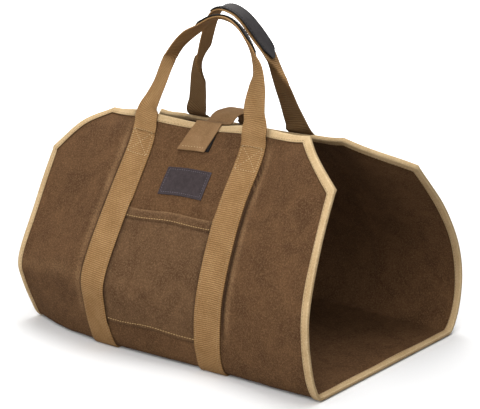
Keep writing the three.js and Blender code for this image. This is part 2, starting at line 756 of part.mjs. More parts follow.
function closureGeometry() {
  const offset = 2 * layerGap + closureSlack + patchWall + closureWall / 2;
  const columns = [-0.5, 0, 0.5].map((share) => closureShift + share * closureWidth);
  const onPanel = (side, d) => columns.map((column) => {
    const x = column - (side === 'front' ? tabSwing * clamp(d / tabLength, 0, 1) : 0);
    return { point: offSheet(side, x, d, offset), normal: sheetNormal(side, x, d) };
  });
  const overEdge = -(bindWall + 3 * layerGap + closureWall / 2);
  const front = onPanel('front', overEdge)[1].point;
  const back = onPanel('back', overEdge)[1].point;
  const middle = closureRows.map(({ along, rise }) => (
    front.clone().lerp(back, along).addScaledVector(up, rise * mouthArch)));
  const curve = new THREE.CatmullRomCurve3([front, ...middle, back], false, 'centripetal');
  const free = [];
  const count = 16;
  for (let i = 1; i < count; i += 1) {
    const u = i / count;
    const centre = curve.getPointAt(u);
    const along = curve.getTangentAt(u);
    const normal = new THREE.Vector3(0, -along.z, along.y).normalize();
    free.push(columns.map((x) => ({ point: new THREE.Vector3(x, centre.y, centre.z), normal })));
  }
  const sewn = (side, depth) => [overEdge, 0, bindWidth, 24, 34, depth].map((d) => onPanel(side, d));
  return ribbonGeometry([
    ...sewn('front', tabLength).reverse(), ...free, ...sewn('back', closureBack),
  ], -closureWall / 2, closureWall / 2);
}

// Assembly

const carrier = new THREE.Group();

function addPiece(name, geometry, finish) {
  const mesh = new THREE.Mesh(geometry, new THREE.MeshStandardMaterial(colours[finish]));
  mesh.name = name;
  carrier.add(mesh);
}

addPiece('canvas_body', canvasGeometry(), 'canvas');
addPiece('edge_binding', bindingGeometry(), 'binding');
addPiece('strap_left', strapGeometry(-1), 'webbing');
addPiece('strap_right', strapGeometry(1), 'webbing');
addPiece('pocket_front', pocketGeometry(), 'pocket');
addPiece('label', labelGeometry(), 'leather');
addPiece('handle_front', handleGeometry(handles.front), 'webbing');
addPiece('handle_back', handleGeometry(handles.back), 'webbing');
addPiece('grip_front', gripGeometry(handles.front), 'leather');
addPiece('grip_back', gripGeometry(handles.back), 'leather');
addPiece('closure_patch', patchGeometry(), 'patch');
addPiece('closure_strap', closureGeometry(), 'closure');

// The origin goes under the middle of the whole carrier.
const box = new THREE.Box3().setFromObject(carrier);
const middle = box.getCenter(new THREE.Vector3());
carrier.position.set(-middle.x, -middle.y, -box.min.z);

export default carrier;
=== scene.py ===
import math

import bpy
import numpy as np
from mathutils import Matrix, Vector


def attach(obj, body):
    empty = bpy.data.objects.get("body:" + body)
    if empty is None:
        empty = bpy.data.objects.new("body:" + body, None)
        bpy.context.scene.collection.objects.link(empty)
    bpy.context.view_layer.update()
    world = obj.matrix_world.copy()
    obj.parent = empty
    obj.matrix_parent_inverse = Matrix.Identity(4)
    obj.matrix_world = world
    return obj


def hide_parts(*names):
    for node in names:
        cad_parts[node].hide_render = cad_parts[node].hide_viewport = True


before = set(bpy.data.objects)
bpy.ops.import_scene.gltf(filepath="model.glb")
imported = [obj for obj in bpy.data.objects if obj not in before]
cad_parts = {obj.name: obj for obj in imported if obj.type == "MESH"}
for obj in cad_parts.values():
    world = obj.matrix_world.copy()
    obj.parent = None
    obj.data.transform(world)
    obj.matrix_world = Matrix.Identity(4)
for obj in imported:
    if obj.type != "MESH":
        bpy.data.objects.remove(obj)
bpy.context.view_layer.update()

print("log carrier: frame loaded")

# the sheet's form, in metres. Each row of a table has its share of half the length, then out and up as shares
# of depth and rise at the edge, lip, waist, knee, belly and heel, and out at the foot.
sheetForm = {
    "length": 0.460, "rise": 0.280, "depth": 0.170, "wall": 0.0018, "cornerCut": 0.067, "cornerDrop": 0.074,
    "layerGap": 0.00035, "webGap": 0.0006, "webWall": 0.002, "webWidth": 0.038, "strapAt": 0.082,
    "shift": (-0.00016, 0.00294, 0.0),
    "creaseDepth": 0.0011, "swellDepth": 0.0016,
}
frontSections = [
    (-1, 0.300, 1.011, 0.406, 0.904, 0.735, 0.554, 0.932, 0.293, 0.906, 0.207, 0.818, 0.079, 0.747),
    (-0.71, 0.265, 0.968, 0.476, 0.882, 0.718, 0.607, 0.982, 0.314, 0.959, 0.214, 0.900, 0.071, 0.859),
    (-0.44, 0.388, 0.996, 0.471, 0.893, 0.694, 0.679, 1.018, 0.329, 1.003, 0.214, 0.941, 0.071, 0.888),
    (-0.27, 0.418, 0.995, 0.471, 0.896, 0.676, 0.682, 1.012, 0.318, 1.006, 0.218, 0.950, 0.071, 0.882),
    (0, 0.271, 0.961, 0.394, 0.879, 0.671, 0.657, 0.953, 0.329, 0.965, 0.207, 0.918, 0.071, 0.865),
    (0.27, 0.359, 0.996, 0.409, 0.900, 0.650, 0.675, 0.856, 0.375, 0.900, 0.221, 0.882, 0.071, 0.835),
    (0.44, 0.382, 1.000, 0.415, 0.911, 0.650, 0.693, 0.862, 0.371, 0.894, 0.236, 0.882, 0.071, 0.818),
    (0.71, 0.412, 1.004, 0.553, 0.925, 0.753, 0.657, 0.903, 0.393, 0.924, 0.236, 0.876, 0.071, 0.812),
    (1, 0.494, 1.096, 0.576, 0.982, 0.824, 0.657, 0.941, 0.421, 0.944, 0.286, 0.865, 0.071, 0.788),
]
backSections = [
    (-1, 0.259, 0.993, 0.365, 0.907, 0.729, 0.600, 0.918, 0.386, 0.976, 0.214, 0.929, 0.071, 0.847),
    (-0.71, 0.259, 0.914, 0.376, 0.843, 0.694, 0.593, 0.918, 0.389, 0.982, 0.218, 0.941, 0.075, 0.853),
    (-0.44, 0.138, 0.929, 0.271, 0.868, 0.665, 0.600, 0.912, 0.393, 0.994, 0.221, 0.953, 0.079, 0.859),
    (-0.27, 0.118, 0.929, 0.253, 0.868, 0.659, 0.600, 0.906, 0.393, 0.994, 0.221, 0.953, 0.079, 0.859),
    (0, 0.176, 0.918, 0.294, 0.850, 0.671, 0.600, 0.906, 0.393, 0.988, 0.221, 0.947, 0.079, 0.859),
    (0.27, 0.112, 0.925, 0.247, 0.864, 0.659, 0.604, 0.906, 0.396, 0.994, 0.221, 0.953, 0.079, 0.859),
    (0.44, 0.124, 0.925, 0.253, 0.864, 0.659, 0.604, 0.906, 0.396, 0.994, 0.221, 0.953, 0.079, 0.859),
    (0.71, -0.018, 0.957, 0.112, 0.886, 0.635, 0.607, 0.906, 0.400, 0.988, 0.221, 0.947, 0.075, 0.853),
    (1, 0.000, 1.018, 0.141, 0.936, 0.694, 0.611, 0.924, 0.400, 0.982, 0.236, 0.929, 0.079, 0.841),
]

layerGap, clothWall = sheetForm["layerGap"], sheetForm["wall"]
webGap, webWall, webWidth = sheetForm["webGap"], sheetForm["webWall"], sheetForm["webWidth"]
halfLength = sheetForm["length"] / 2
topHalf = halfLength - sheetForm["cornerCut"]
cutSlope = sheetForm["cornerCut"] / sheetForm["cornerDrop"]
strapInner = sheetForm["strapAt"] - webWidth / 2
strapOuter = sheetForm["strapAt"] + webWidth / 2
floorLevel = webGap + webWall
shift = np.array(sheetForm["shift"])
gridStep = 0.001  # between the stored points of a section


def smooth(t):
    c = np.clip(t, 0.0, 1.0)
    return c * c * (3 - 2 * c)


def mixed(a, b, t):
    return a + (b - a) * t


def bell(t):  # 1 at the middle, nearly 0 beyond 2
    return np.exp(-(t**2))


def columnValue(rows, along):  # cubic through the rows of a table, for every station at once
    table = np.array(rows)
    places, values = table[:, 0], table[:, 1:]
    last = len(rows) - 1
    i = 0
    while i < last - 1 and along > places[i + 1]:
        i += 1

    def slope(k):
        a, b = max(k - 1, 0), min(k + 1, last)
        return (values[b] - values[a]) / (places[b] - places[a])

    w = places[i + 1] - places[i]
    t = (along - places[i]) / w
    return ((2 * t**3 - 3 * t**2 + 1) * values[i] + (t**3 - 2 * t**2 + t) * w * slope(i)
            + (3 * t**2 - 2 * t**3) * values[i + 1] + (t**3 - t**2) * w * slope(i + 1))


def curveThrough(points, count):  # centripetal curve through the points
    p = np.asarray(points, float)
    n = len(p) - 1
    out = []
    for s in np.linspace(0, n, count):
        i = min(int(s), n - 1)
        t = s - i
        p1, p2 = p[i], p[i + 1]
        p0 = p[i - 1] if i > 0 else 2 * p[0] - p[1]
        p3 = p[i + 2] if i + 2 <= n else 2 * p[n] - p[n - 1]
        d0, d1, d2 = (math.sqrt(math.dist(a, b)) for a, b in ((p0, p1), (p1, p2), (p2, p3)))
        d1 = d1 if d1 > 1e-6 else 1.0
        d0 = d0 if d0 > 1e-6 else d1
        d2 = d2 if d2 > 1e-6 else d1
        m1 = ((p1 - p0) / d0 - (p2 - p0) / (d0 + d1) + (p2 - p1) / d1) * d1
        m2 = ((p2 - p1) / d1 - (p3 - p1) / (d1 + d2) + (p3 - p2) / d2) * d1
        square, cube = -3 * p1 + 3 * p2 - 2 * m1 - m2, 2 * p1 - 2 * p2 + m1 + m2
        out.append(p1 + m1 * t + square * t**2 + cube * t**3)
    return np.array(out)


def lengthsOf(points):
    return np.concatenate([[0], np.cumsum(np.linalg.norm(np.diff(points, axis=0), axis=1))])


def placeAt(distance, run, line):  # the point, or points, at a distance along a line
    return np.stack([np.interp(distance, run, line[:, k]) for k in range(3)], -1)


class Panel:  # one half of the sheet, from its top edge to the middle of the floor
    def __init__(self, rows, sign):
        self.sign = sign
        self.xs = np.linspace(-halfLength - 0.01, halfLength + 0.01, 121)
        self.reach = 0.03
        grid, totals, kneeAt = [], [], []
        for x in self.xs:
            v = columnValue(rows, x / halfLength)
            depth = sign * sheetForm["depth"]
            stations = [(depth * v[k], sheetForm["rise"] * v[k + 1]) for k in range(0, 12, 2)]
            foot = depth * v[12]
            stations += [(foot, floorLevel), (0.8 * foot, floorLevel), (0.0, floorLevel)]
            line = curveThrough(stations, 241)
            line[:, 1] = np.maximum(line[:, 1], floorLevel)
            run = lengthsOf(line)
            edge = (line[0] - line[3]) / np.linalg.norm(line[0] - line[3])
            line = np.vstack([line[0] + edge * self.reach, line])
            run = np.concatenate([[-self.reach], run])
            places = np.arange(-self.reach, 0.50, gridStep)
            grid.append(np.stack([np.interp(places, run, line[:, k]) for k in (0, 1)], -1))
            totals.append(run[-1])
            kneeAt.append(run[91])  # 30 points to a station, and one before the first
        self.grid, self.totals, self.kneeAt = np.array(grid), np.array(totals), np.array(kneeAt)

    def total(self, x):
        return np.interp(x, self.xs, self.totals)

    def knee(self, x):
        return np.interp(x, self.xs, self.kneeAt)

    def point(self, x, d):
        x, d = np.broadcast_arrays(np.asarray(x, float), np.asarray(d, float))
        fx = np.clip((x - self.xs[0]) / (self.xs[1] - self.xs[0]), 0, len(self.xs) - 1.001)
        fd = np.clip((np.minimum(d, self.total(x)) + self.reach) / gridStep, 0, self.grid.shape[1] - 1.001)
        i, j = fx.astype(int), fd.astype(int)
        u, v = (fx - i)[..., None], (fd - j)[..., None]
        g = self.grid
        yz = mixed(mixed(g[i, j], g[i + 1, j], u), mixed(g[i, j + 1], g[i + 1, j + 1], u), v)
        return np.concatenate([x[..., None], yz], -1)

    def normal(self, x, d):
        h = 0.003
        x, d = np.broadcast_arrays(np.asarray(x, float), np.asarray(d, float))
        low = np.minimum(d + h, self.total(x) - 1e-5)
        down = self.point(x, low) - self.point(x, low - 2 * h)
        across = self.point(x + h, d) - self.point(x - h, d)
        n = np.cross(down, across)
        n /= np.linalg.norm(n, axis=-1, keepdims=True)
        return n if self.sign < 0 else -n

    def off(self, x, d, offset):  # a point at a height off the outer face, with the cloth's soft relief
        x, d = np.broadcast_arrays(np.asarray(x, float), np.asarray(d, float))
        rise = np.asarray(offset, float) + softRelief(self, x, d)
        return self.point(x, d) + self.normal(x, d) * np.broadcast_to(rise, x.shape)[..., None]


def waves(x, d, seed, scale):  # gentle seeded swells
    r = np.random.RandomState(seed)
    total = np.zeros_like(x)
    for _ in range(7):
        a, f, ph = r.uniform(0, 2 * math.pi), r.uniform(0.6, 1.5) / scale, r.uniform(0, 2 * math.pi)
        total = total + np.sin(2 * math.pi * f * (x * math.cos(a) + d * math.sin(a)) + ph)
    return total / 7


def softRelief(panel, x, d):  # the cloth's swells and creases, none on the floor or at the edge
    total = panel.total(x)
    held = smooth(d / 0.05) * smooth((total - 0.165 - d) / 0.05)
    swell = waves(x, d, 3 if panel.sign < 0 else 8, 0.12) * sheetForm["swellDepth"]
    besideStrap = np.abs(np.abs(x) - strapOuter - 0.005)
    groove = -bell(besideStrap / 0.004) * sheetForm["creaseDepth"]
    return held * (swell + groove)


front = Panel(frontSections, -1)
back = Panel(backSections, 1)
print("log carrier: sheet form ready")


def makeMesh(name, points, faces, cloth, masks=None):
    mesh = bpy.data.meshes.new(name)
    placed = np.asarray(points) + shift
    mesh.from_pydata([tuple(p) for p in placed], [], [tuple(int(i) for i in f) for f in faces])
    layer = mesh.uv_layers.new(name="Cloth")
    loops = np.zeros(len(mesh.loops), dtype=np.int32)
    mesh.loops.foreach_get("vertex_index", loops)
    layer.data.foreach_set("uv", np.asarray(cloth, float)[loops].ravel())
    for key, values in (masks or {}).items():
        attribute = mesh.attributes.new(key, "FLOAT", "POINT")
        attribute.data.foreach_set("value", np.asarray(values, float).ravel())
    mesh.validate()
    mesh.polygons.foreach_set("use_smooth", [True] * len(mesh.polygons))
    piece = bpy.data.objects.new(name, mesh)
    bpy.context.scene.collection.objects.link(piece)
    return piece


def gridFaces(rows, columns, start=0, flip=False):
    a = (np.arange(rows - 1)[:, None] * columns + np.arange(columns - 1)[None, :]).ravel() + start
    quads = np.stack([a, a + columns, a + columns + 1, a + 1], -1)
    return quads[:, ::-1] if flip else quads


def slab(name, outer, inner, cloth, masks=None):  # a closed sheet between two matching grids of points
    rows, columns = outer.shape[:2]
    n = rows * columns
    points = np.vstack([outer.reshape(-1, 3), inner.reshape(-1, 3)])
    faces = [gridFaces(rows, columns), gridFaces(rows, columns, n, True)]
    rim = np.concatenate([
        np.arange(rows) * columns, (rows - 1) * columns + np.arange(1, columns),
        (rows - 1 - np.arange(1, rows)) * columns + columns - 1, columns - 1 - np.arange(1, columns - 1),
    ])
    after = np.roll(rim, -1)
    faces.append(np.stack([rim, rim + n, after + n, after], -1))
    faces = np.vstack(faces)
    a, b, c, d = (points[faces[:, k]] for k in range(4))
    volume = np.einsum("ij,ij->i", a, np.cross(b, c)).sum() + np.einsum("ij,ij->i", a, np.cross(c, d)).sum()
    if volume < 0:
        faces = faces[:, ::-1]
    both = np.vstack([cloth.reshape(-1, 2), cloth.reshape(-1, 2)])
    doubled = {k: np.concatenate([np.asarray(v).ravel()] * 2) for k, v in (masks or {}).items()}
    return makeMesh(name, points, faces, both, doubled)


def stitchRow(points, normals, settings):  # one thread end per stitch along a line
    run = lengthsOf(points)
    count = max(int(run[-1] / settings["pitch"]), 1)
    places = (np.arange(count) + 0.5) * run[-1] / count
    at, up = placeAt(places, run, points), placeAt(places, run, normals)
    up /= np.linalg.norm(up, axis=1, keepdims=True)
    along = placeAt(places + 0.0004, run, points) - placeAt(places - 0.0004, run, points)
    along /= np.linalg.norm(along, axis=1, keepdims=True) + 1e-12
    side = np.cross(up, along)
    verts, faces = [], []
    for c, u, t, s in zip(at, up, along, side):
        base = len(verts)
        for place, size in ((-1.0, 0.0), (-0.62, 0.85), (0.0, 1.0), (0.62, 0.85), (1.0, 0.0)):
            lift = settings["rise"] * (1 - place * place) - 0.0001
            centre = c + t * place * settings["length"] / 2 + u * lift
            if size == 0.0:
                verts.append(centre)
                continue
            for k in range(5):
                angle = 2 * math.pi * k / 5
                spoke = s * math.cos(angle) + u * math.sin(angle)
                verts.append(centre + spoke * size * settings["thick"] / 2)
        for k in range(5):
            n = (k + 1) % 5
            faces.append((base, base + 1 + n, base + 1 + k))
            for ring in (0, 1):
                p = base + 1 + 5 * ring
                faces.append((p + k, p + n, p + 5 + n, p + 5 + k))
            faces.append((base + 16, base + 11 + k, base + 11 + n))
    return verts, faces


def stitchPiece(name, rowsOfStitches):
    points, faces = [], []
    for verts, polys in rowsOfStitches:
        base = len(points)
        points += verts
        faces += [tuple(i + base for i in f) for f in polys]
    return makeMesh(name, np.array(points), faces, np.array(points)[:, :2])


def newGroup(name, vector, values, outs):  # a vector and some values in, values out
    group = bpy.data.node_groups.new(name, "ShaderNodeTree")
    group.interface.new_socket(name=vector, in_out="INPUT", socket_type="NodeSocketVector")
    for label, value in values.items():
        socket = group.interface.new_socket(name=label, in_out="INPUT", socket_type="NodeSocketFloat")
        socket.default_value = value
    for label in outs:
        group.interface.new_socket(name=label, in_out="OUTPUT", socket_type="NodeSocketFloat")
    return group, group.nodes.new("NodeGroupInput"), group.nodes.new("NodeGroupOutput")


def setInputs(node, values):
    for key, value in values.items():
        node.inputs[key].default_value = value


def addNode(tree, kind, values=None, **settings):
    node = tree.nodes.new(kind)
    for key, value in settings.items():
        setattr(node, key, value)
    setInputs(node, values or {})
    return node


def feed(tree, value, socket):  # a fixed value, or a link from another node
    if hasattr(value, "is_output"):
        tree.links.new(value, socket)
    else:
        socket.default_value = value


def mathNode(tree, operation, *values):
    node = addNode(tree, "ShaderNodeMath", operation=operation)
    for k, value in enumerate(values):
        feed(tree, value, node.inputs[k])
    return node.outputs[0]


def plus(tree, a, b):
    return mathNode(tree, "ADD", a, b)


def times(tree, a, b):
    return mathNode(tree, "MULTIPLY", a, b)


def makeWeave():  # plain weave: threads over and under, along both sides of the cloth
    t, ins, outs = newGroup("plainWeave", "Cloth", {"Threads": 900.0, "Slub": 0.35}, ("Height", "Thread"))
    split = addNode(t, "ShaderNodeSeparateXYZ")
    warp = addNode(t, "ShaderNodeTexNoise", {"Scale": 90.0, "Detail": 2.0})
    t.links.new(ins.outputs["Cloth"], warp.inputs["Vector"])
    t.links.new(ins.outputs["Cloth"], split.inputs[0])
    wob = times(t, warp.outputs[0], 1.6)
    u = plus(t, times(t, split.outputs[0], ins.outputs["Threads"]), wob)
    v = plus(t, times(t, split.outputs[1], ins.outputs["Threads"]), wob)
    su = mathNode(t, "SINE", times(t, u, math.pi))
    sv = mathNode(t, "SINE", times(t, v, math.pi))
    both = times(t, su, sv)
    height = plus(t, times(t, both, 0.5), 0.5)
    slub = addNode(t, "ShaderNodeTexNoise", {"Scale": 1.0, "Detail": 3.0, "Roughness": 0.7})
    stretch = addNode(t, "ShaderNodeVectorMath", operation="MULTIPLY")
    stretch.inputs[1].default_value = (260.0, 900.0, 500.0)
    t.links.new(ins.outputs["Cloth"], stretch.inputs[0])
    t.links.new(stretch.outputs[0], slub.inputs["Vector"])
    rough = times(t, slub.outputs[0], ins.outputs["Slub"])
    t.links.new(plus(t, height, rough), outs.inputs["Height"])
    t.links.new(plus(t, times(t, height, 0.5), slub.outputs[0]), outs.inputs["Thread"])
    return t


def makeMottle():  # large soft patches with fine flecks, for wax, dye and wear
    group, ins, outs = newGroup(
        "waxMottle", "Place", {"Patch": 14.0, "Fleck": 420.0}, ("Patches", "Flecks"))
    patch = addNode(group, "ShaderNodeTexNoise", {"Detail": 5.0, "Roughness": 0.62, "Distortion": 0.6})
    fleck = addNode(group, "ShaderNodeTexNoise", {"Detail": 3.0, "Roughness": 0.8})
    for node, key in ((patch, "Patch"), (fleck, "Fleck")):
        group.links.new(ins.outputs["Place"], node.inputs["Vector"])
        group.links.new(ins.outputs[key], node.inputs["Scale"])
    group.links.new(patch.outputs[0], outs.inputs["Patches"])
    group.links.new(fleck.outputs[0], outs.inputs["Flecks"])
    return group


def makeRibs():  # webbing: cords across the band, with a slant for twill
    t, ins, outs = newGroup(
        "webRibs", "Cloth", {"Ribs": 620.0, "Slant": 0.0, "Cords": 900.0}, ("Height", "Rib"))
    split = addNode(t, "ShaderNodeSeparateXYZ")
    t.links.new(ins.outputs["Cloth"], split.inputs[0])
    slanted = plus(t, split.outputs[1], times(t, split.outputs[0], ins.outputs["Slant"]))
    rib = mathNode(t, "SINE", times(t, times(t, slanted, ins.outputs["Ribs"]), 2 * math.pi))
    cords = times(t, split.outputs[0], ins.outputs["Cords"])
    cord = mathNode(t, "SINE", times(t, cords, 2 * math.pi))
    fuzz = addNode(t, "ShaderNodeTexNoise", {"Scale": 700.0, "Detail": 3.0, "Roughness": 0.75})
    t.links.new(ins.outputs["Cloth"], fuzz.inputs["Vector"])
    height = plus(t, times(t, rib, 0.34), times(t, cord, 0.16))
    height = plus(t, height, times(t, fuzz.outputs[0], 0.5))
    t.links.new(height, outs.inputs["Height"])
    t.links.new(plus(t, times(t, height, 0.7), 0.25), outs.inputs["Rib"])
    return t


def makeGrain():  # leather pebbles and pores
    group, ins, outs = newGroup(
        "leatherGrain", "Place", {"Pebble": 900.0, "Crease": 90.0}, ("Height", "Scuff"))
    cells = addNode(group, "ShaderNodeTexVoronoi", feature="SMOOTH_F1")
    creases = addNode(group, "ShaderNodeTexNoise", {"Detail": 6.0, "Roughness": 0.7, "Distortion": 1.2})
    group.links.new(ins.outputs["Place"], cells.inputs["Vector"])
    group.links.new(ins.outputs["Pebble"], cells.inputs["Scale"])
    group.links.new(ins.outputs["Place"], creases.inputs["Vector"])
    group.links.new(ins.outputs["Crease"], creases.inputs["Scale"])
    height = plus(group, times(group, cells.outputs["Distance"], 0.6), creases.outputs[0])
    group.links.new(height, outs.inputs["Height"])
    group.links.new(creases.outputs[0], outs.inputs["Scuff"])
    return group


groups = {"weave": makeWeave(), "mottle": makeMottle(), "ribs": makeRibs(), "grain": makeGrain()}


def rgb(r, g, b):  # display colour 0 to 255, as the linear value a shader takes
    def one(v):
        v /= 255
        return v / 12.92 if v <= 0.04045 else ((v + 0.055) / 1.055) ** 2.4
    return (one(r), one(g), one(b), 1.0)


def useGroup(tree, key, values, cloth):
    node = addNode(tree, "ShaderNodeGroup", node_tree=groups[key])
    setInputs(node, values)
    tree.links.new(cloth, node.inputs[0])
    return node


def blendColour(tree, factor, a, b):
    node = addNode(tree, "ShaderNodeMix", data_type="RGBA")
    for k, value in ((0, factor), (6, a), (7, b)):
        feed(tree, value, node.inputs[k])
    return node.outputs[2]


def ramp(tree, value, low, high):
    node = addNode(tree, "ShaderNodeMapRange", {1: low, 2: high}, clamp=True)
    tree.links.new(value, node.inputs[0])
    return node.outputs[0]


def startMaterial(name, roughness):
    material = bpy.data.materials.new(name)
    material.use_nodes = True
    tree = material.node_tree
    shader = tree.nodes["Principled BSDF"]
    shader.inputs["Roughness"].default_value = roughness
    cloth = addNode(tree, "ShaderNodeUVMap", uv_map="Cloth").outputs[0]
    place = addNode(tree, "ShaderNodeTexCoord").outputs["Object"]
    return material, tree, shader, cloth, place


def finishBump(tree, shader, height, distance, strength):
    bump = addNode(tree, "ShaderNodeBump", {"Strength": strength, "Distance": distance})
    tree.links.new(height, bump.inputs["Height"])
    tree.links.new(bump.outputs[0], shader.inputs["Normal"])


def clothMaterial(name, look):
    material, tree, shader, cloth, place = startMaterial(name, look["roughness"])
    weave = useGroup(tree, "weave", {"Threads": look["threads"], "Slub": look["slub"]}, cloth)
    mottle = useGroup(tree, "mottle", {"Patch": look["patch"], "Fleck": look["fleck"]}, place)
    wornAndLit = addNode(tree, "ShaderNodeAttribute", attribute_name="wearAndHighlight").outputs["Fac"]
    shade = addNode(tree, "ShaderNodeAttribute", attribute_name="shade").outputs["Fac"]
    patches = ramp(tree, mottle.outputs["Patches"], 0.36, 0.66)
    colour = blendColour(tree, patches, look["dark"], look["light"])
    flecks = ramp(tree, mottle.outputs["Flecks"], 0.46, 0.80)
    colour = blendColour(tree, flecks, colour, look["fleckColour"])
    threads = times(tree, ramp(tree, weave.outputs["Thread"], 0.75, 0.35), look["threadShade"])
    colour = blendColour(tree, threads, colour, look["dark"])
    # wear, and the painted highlight beside the straps, lighten the colour
    scuffedAndLit = times(tree, wornAndLit, ramp(tree, mottle.outputs["Flecks"], 0.25, 0.6))
    colour = blendColour(tree, scuffedAndLit, colour, look["wornAndLit"])
    # painted shade: the shade mask darkens the colour towards the painted shade colour
    colour = blendColour(tree, shade, colour, look["paintedShadeColour"])
    tree.links.new(colour, shader.inputs["Base Color"])
    height = plus(tree, weave.outputs["Height"], times(tree, mottle.outputs["Flecks"], look["nap"]))
    finishBump(tree, shader, height, look["bump"], 0.8)
    rough = plus(tree, times(tree, mottle.outputs["Patches"], -0.12), look["roughness"] + 0.06)
    tree.links.new(rough, shader.inputs["Roughness"])
    shader.inputs["Specular IOR Level"].default_value = look["specular"]
    return material


def webMaterial(name, look):
    material, tree, shader, cloth, place = startMaterial(name, look["roughness"])
    ribs = useGroup(tree, "ribs", {
        "Ribs": look["ribs"], "Slant": look["slant"], "Cords": look["cords"]}, cloth)
    mottle = useGroup(tree, "mottle", {"Patch": look["patch"], "Fleck": look["fleck"]}, place)
    shade = addNode(tree, "ShaderNodeAttribute", attribute_name="shade").outputs["Fac"]
    patches = ramp(tree, mottle.outputs["Patches"], 0.35, 0.68)
    colour = blendColour(tree, patches, look["dark"], look["light"])
    grooves = times(tree, ramp(tree, ribs.outputs["Rib"], 0.62, 0.25), look["ribShade"])
    colour = blendColour(tree, grooves, colour, look["groove"])
    flecks = times(tree, ramp(tree, mottle.outputs["Flecks"], 0.5, 0.8), 0.5)
    colour = blendColour(tree, flecks, colour, look["fleckColour"])
    # painted shade: the shade mask darkens the colour towards the painted shade colour
    colour = blendColour(tree, shade, colour, look["paintedShadeColour"])
    tree.links.new(colour, shader.inputs["Base Color"])
    finishBump(tree, shader, ribs.outputs["Height"], look["bump"], 0.85)
    shader.inputs["Specular IOR Level"].default_value = look["specular"]
    return material


def leatherMaterial(name, look):
    material, tree, shader, cloth, place = startMaterial(name, look["roughness"])
    grain = useGroup(tree, "grain", {"Pebble": look["pebble"], "Crease": look["crease"]}, place)
    edge = addNode(tree, "ShaderNodeAttribute", attribute_name="edge").outputs["Fac"]
    colour = blendColour(tree, ramp(tree, grain.outputs["Scuff"], 0.38, 0.68), look["dark"], look["light"])
    colour = blendColour(tree, edge, colour, look["edge"])
    tree.links.new(colour, shader.inputs["Base Color"])
    rough = plus(tree, times(tree, grain.outputs["Scuff"], 0.25), look["roughness"] - 0.12)
    tree.links.new(rough, shader.inputs["Roughness"])
    finishBump(tree, shader, grain.outputs["Height"], look["bump"], 0.6)
    shader.inputs["Specular IOR Level"].default_value = look["specular"]
    return material


def threadMaterial(name, colour):
    material, tree, shader, cloth, place = startMaterial(name, 0.7)
    mottle = useGroup(tree, "mottle", {"Patch": 60.0, "Fleck": 900.0}, place)
    darker = (*(v * 0.72 for v in colour[:3]), 1.0)
    shaded = blendColour(tree, ramp(tree, mottle.outputs["Flecks"], 0.3, 0.7), darker, colour)
    tree.links.new(shaded, shader.inputs["Base Color"])
    finishBump(tree, shader, mottle.outputs["Flecks"], 0.0002, 0.5)
    return material


canvasLook = {
    "dark": rgb(84, 58, 37), "light": rgb(105, 75, 49), "fleckColour": rgb(144, 111, 77),
    "wornAndLit": rgb(170, 134, 96), "paintedShadeColour": rgb(34, 22, 13),
    "roughness": 0.85, "threads": 1150.0, "slub": 0.45, "patch": 38.0, "fleck": 560.0,
    "threadShade": 0.5, "nap": 0.9, "bump": 0.0008, "specular": 0.12,
}
pocketLook = dict(canvasLook, dark=rgb(86, 61, 40), light=rgb(107, 79, 54), fleckColour=rgb(144, 114, 82))
bindingLook = {
    "dark": rgb(188, 157, 114), "light": rgb(207, 178, 135), "fleckColour": rgb(224, 200, 160),
    "wornAndLit": rgb(236, 212, 166), "paintedShadeColour": rgb(84, 58, 32), "roughness": 0.85, "threads": 1500.0, "slub": 0.5,
    "patch": 30.0, "fleck": 600.0, "threadShade": 0.3, "nap": 0.4, "bump": 0.0004, "specular": 0.12,
}
strapLook = {
    "dark": rgb(156, 119, 76), "light": rgb(178, 140, 94), "groove": rgb(112, 80, 47),
    "fleckColour": rgb(200, 165, 120), "paintedShadeColour": rgb(66, 46, 28),
    "roughness": 0.85, "ribs": 420.0, "slant": 0.0, "cords": 520.0,
    "patch": 30.0, "fleck": 700.0, "ribShade": 0.8, "bump": 0.0008, "specular": 0.12,
}
handleLook = dict(strapLook, slant=0.12, ribShade=0.5)
closureLook = dict(strapLook, dark=rgb(150, 116, 80), light=rgb(172, 136, 98),
                   ribs=800.0, slant=0.8, ribShade=0.45)
gripLook = {
    "dark": rgb(38, 35, 36), "light": rgb(64, 60, 61), "edge": rgb(14, 12, 12),
    "roughness": 0.48, "pebble": 1300.0, "crease": 120.0, "bump": 0.0003, "specular": 0.35,
}
labelLook = dict(gripLook, dark=rgb(48, 40, 41), light=rgb(66, 56, 58), edge=rgb(74, 66, 72),
                 pebble=1600.0, specular=0.25)

materials = {
    "canvas": clothMaterial("waxedCanvas", canvasLook),
    "pocket": clothMaterial("pocketCanvas", pocketLook),
    "binding": clothMaterial("bindingTape", bindingLook),
    "strap": webMaterial("strapWebbing", strapLook),
    "handle": webMaterial("handleWebbing", handleLook),
    "closure": webMaterial("closureWebbing", closureLook),
    "grip": leatherMaterial("gripLeather", gripLook),
    "label": leatherMaterial("labelLeather", labelLook),
    "patch": clothMaterial("loopTape", dict(
        bindingLook, dark=rgb(20, 18, 18), light=rgb(38, 35, 34), fleckColour=rgb(58, 54, 52),
        wornAndLit=rgb(60, 56, 54), paintedShadeColour=rgb(10, 9, 9))),
    "creamThread": threadMaterial("creamThread", rgb(212, 184, 140)),
    "tanThread": threadMaterial("tanThread", rgb(170, 138, 98)),
    "paleThread": threadMaterial("paleThread", rgb(204, 168, 112)),
    "darkThread": threadMaterial("darkThread", rgb(30, 26, 26)),
    "greyThread": threadMaterial("greyThread", rgb(116, 108, 116)),
}
print("log carrier: materials ready")


def dress(piece, materialKey, slotName, *nodes):
    piece.data.materials.append(materials[materialKey])
    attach(piece, "root")
    if nodes:
        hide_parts(*nodes)
    return piece


# canvas
canvasSetup = {"columns": 117, "topRows": 20, "lowRows": 92, "wearAndHighlightNearStrap": 0.75, "wearAtKnee": 0.35}


def halfAt(d):
    return np.minimum(halfLength, topHalf + np.maximum(d, 0) * cutSlope)


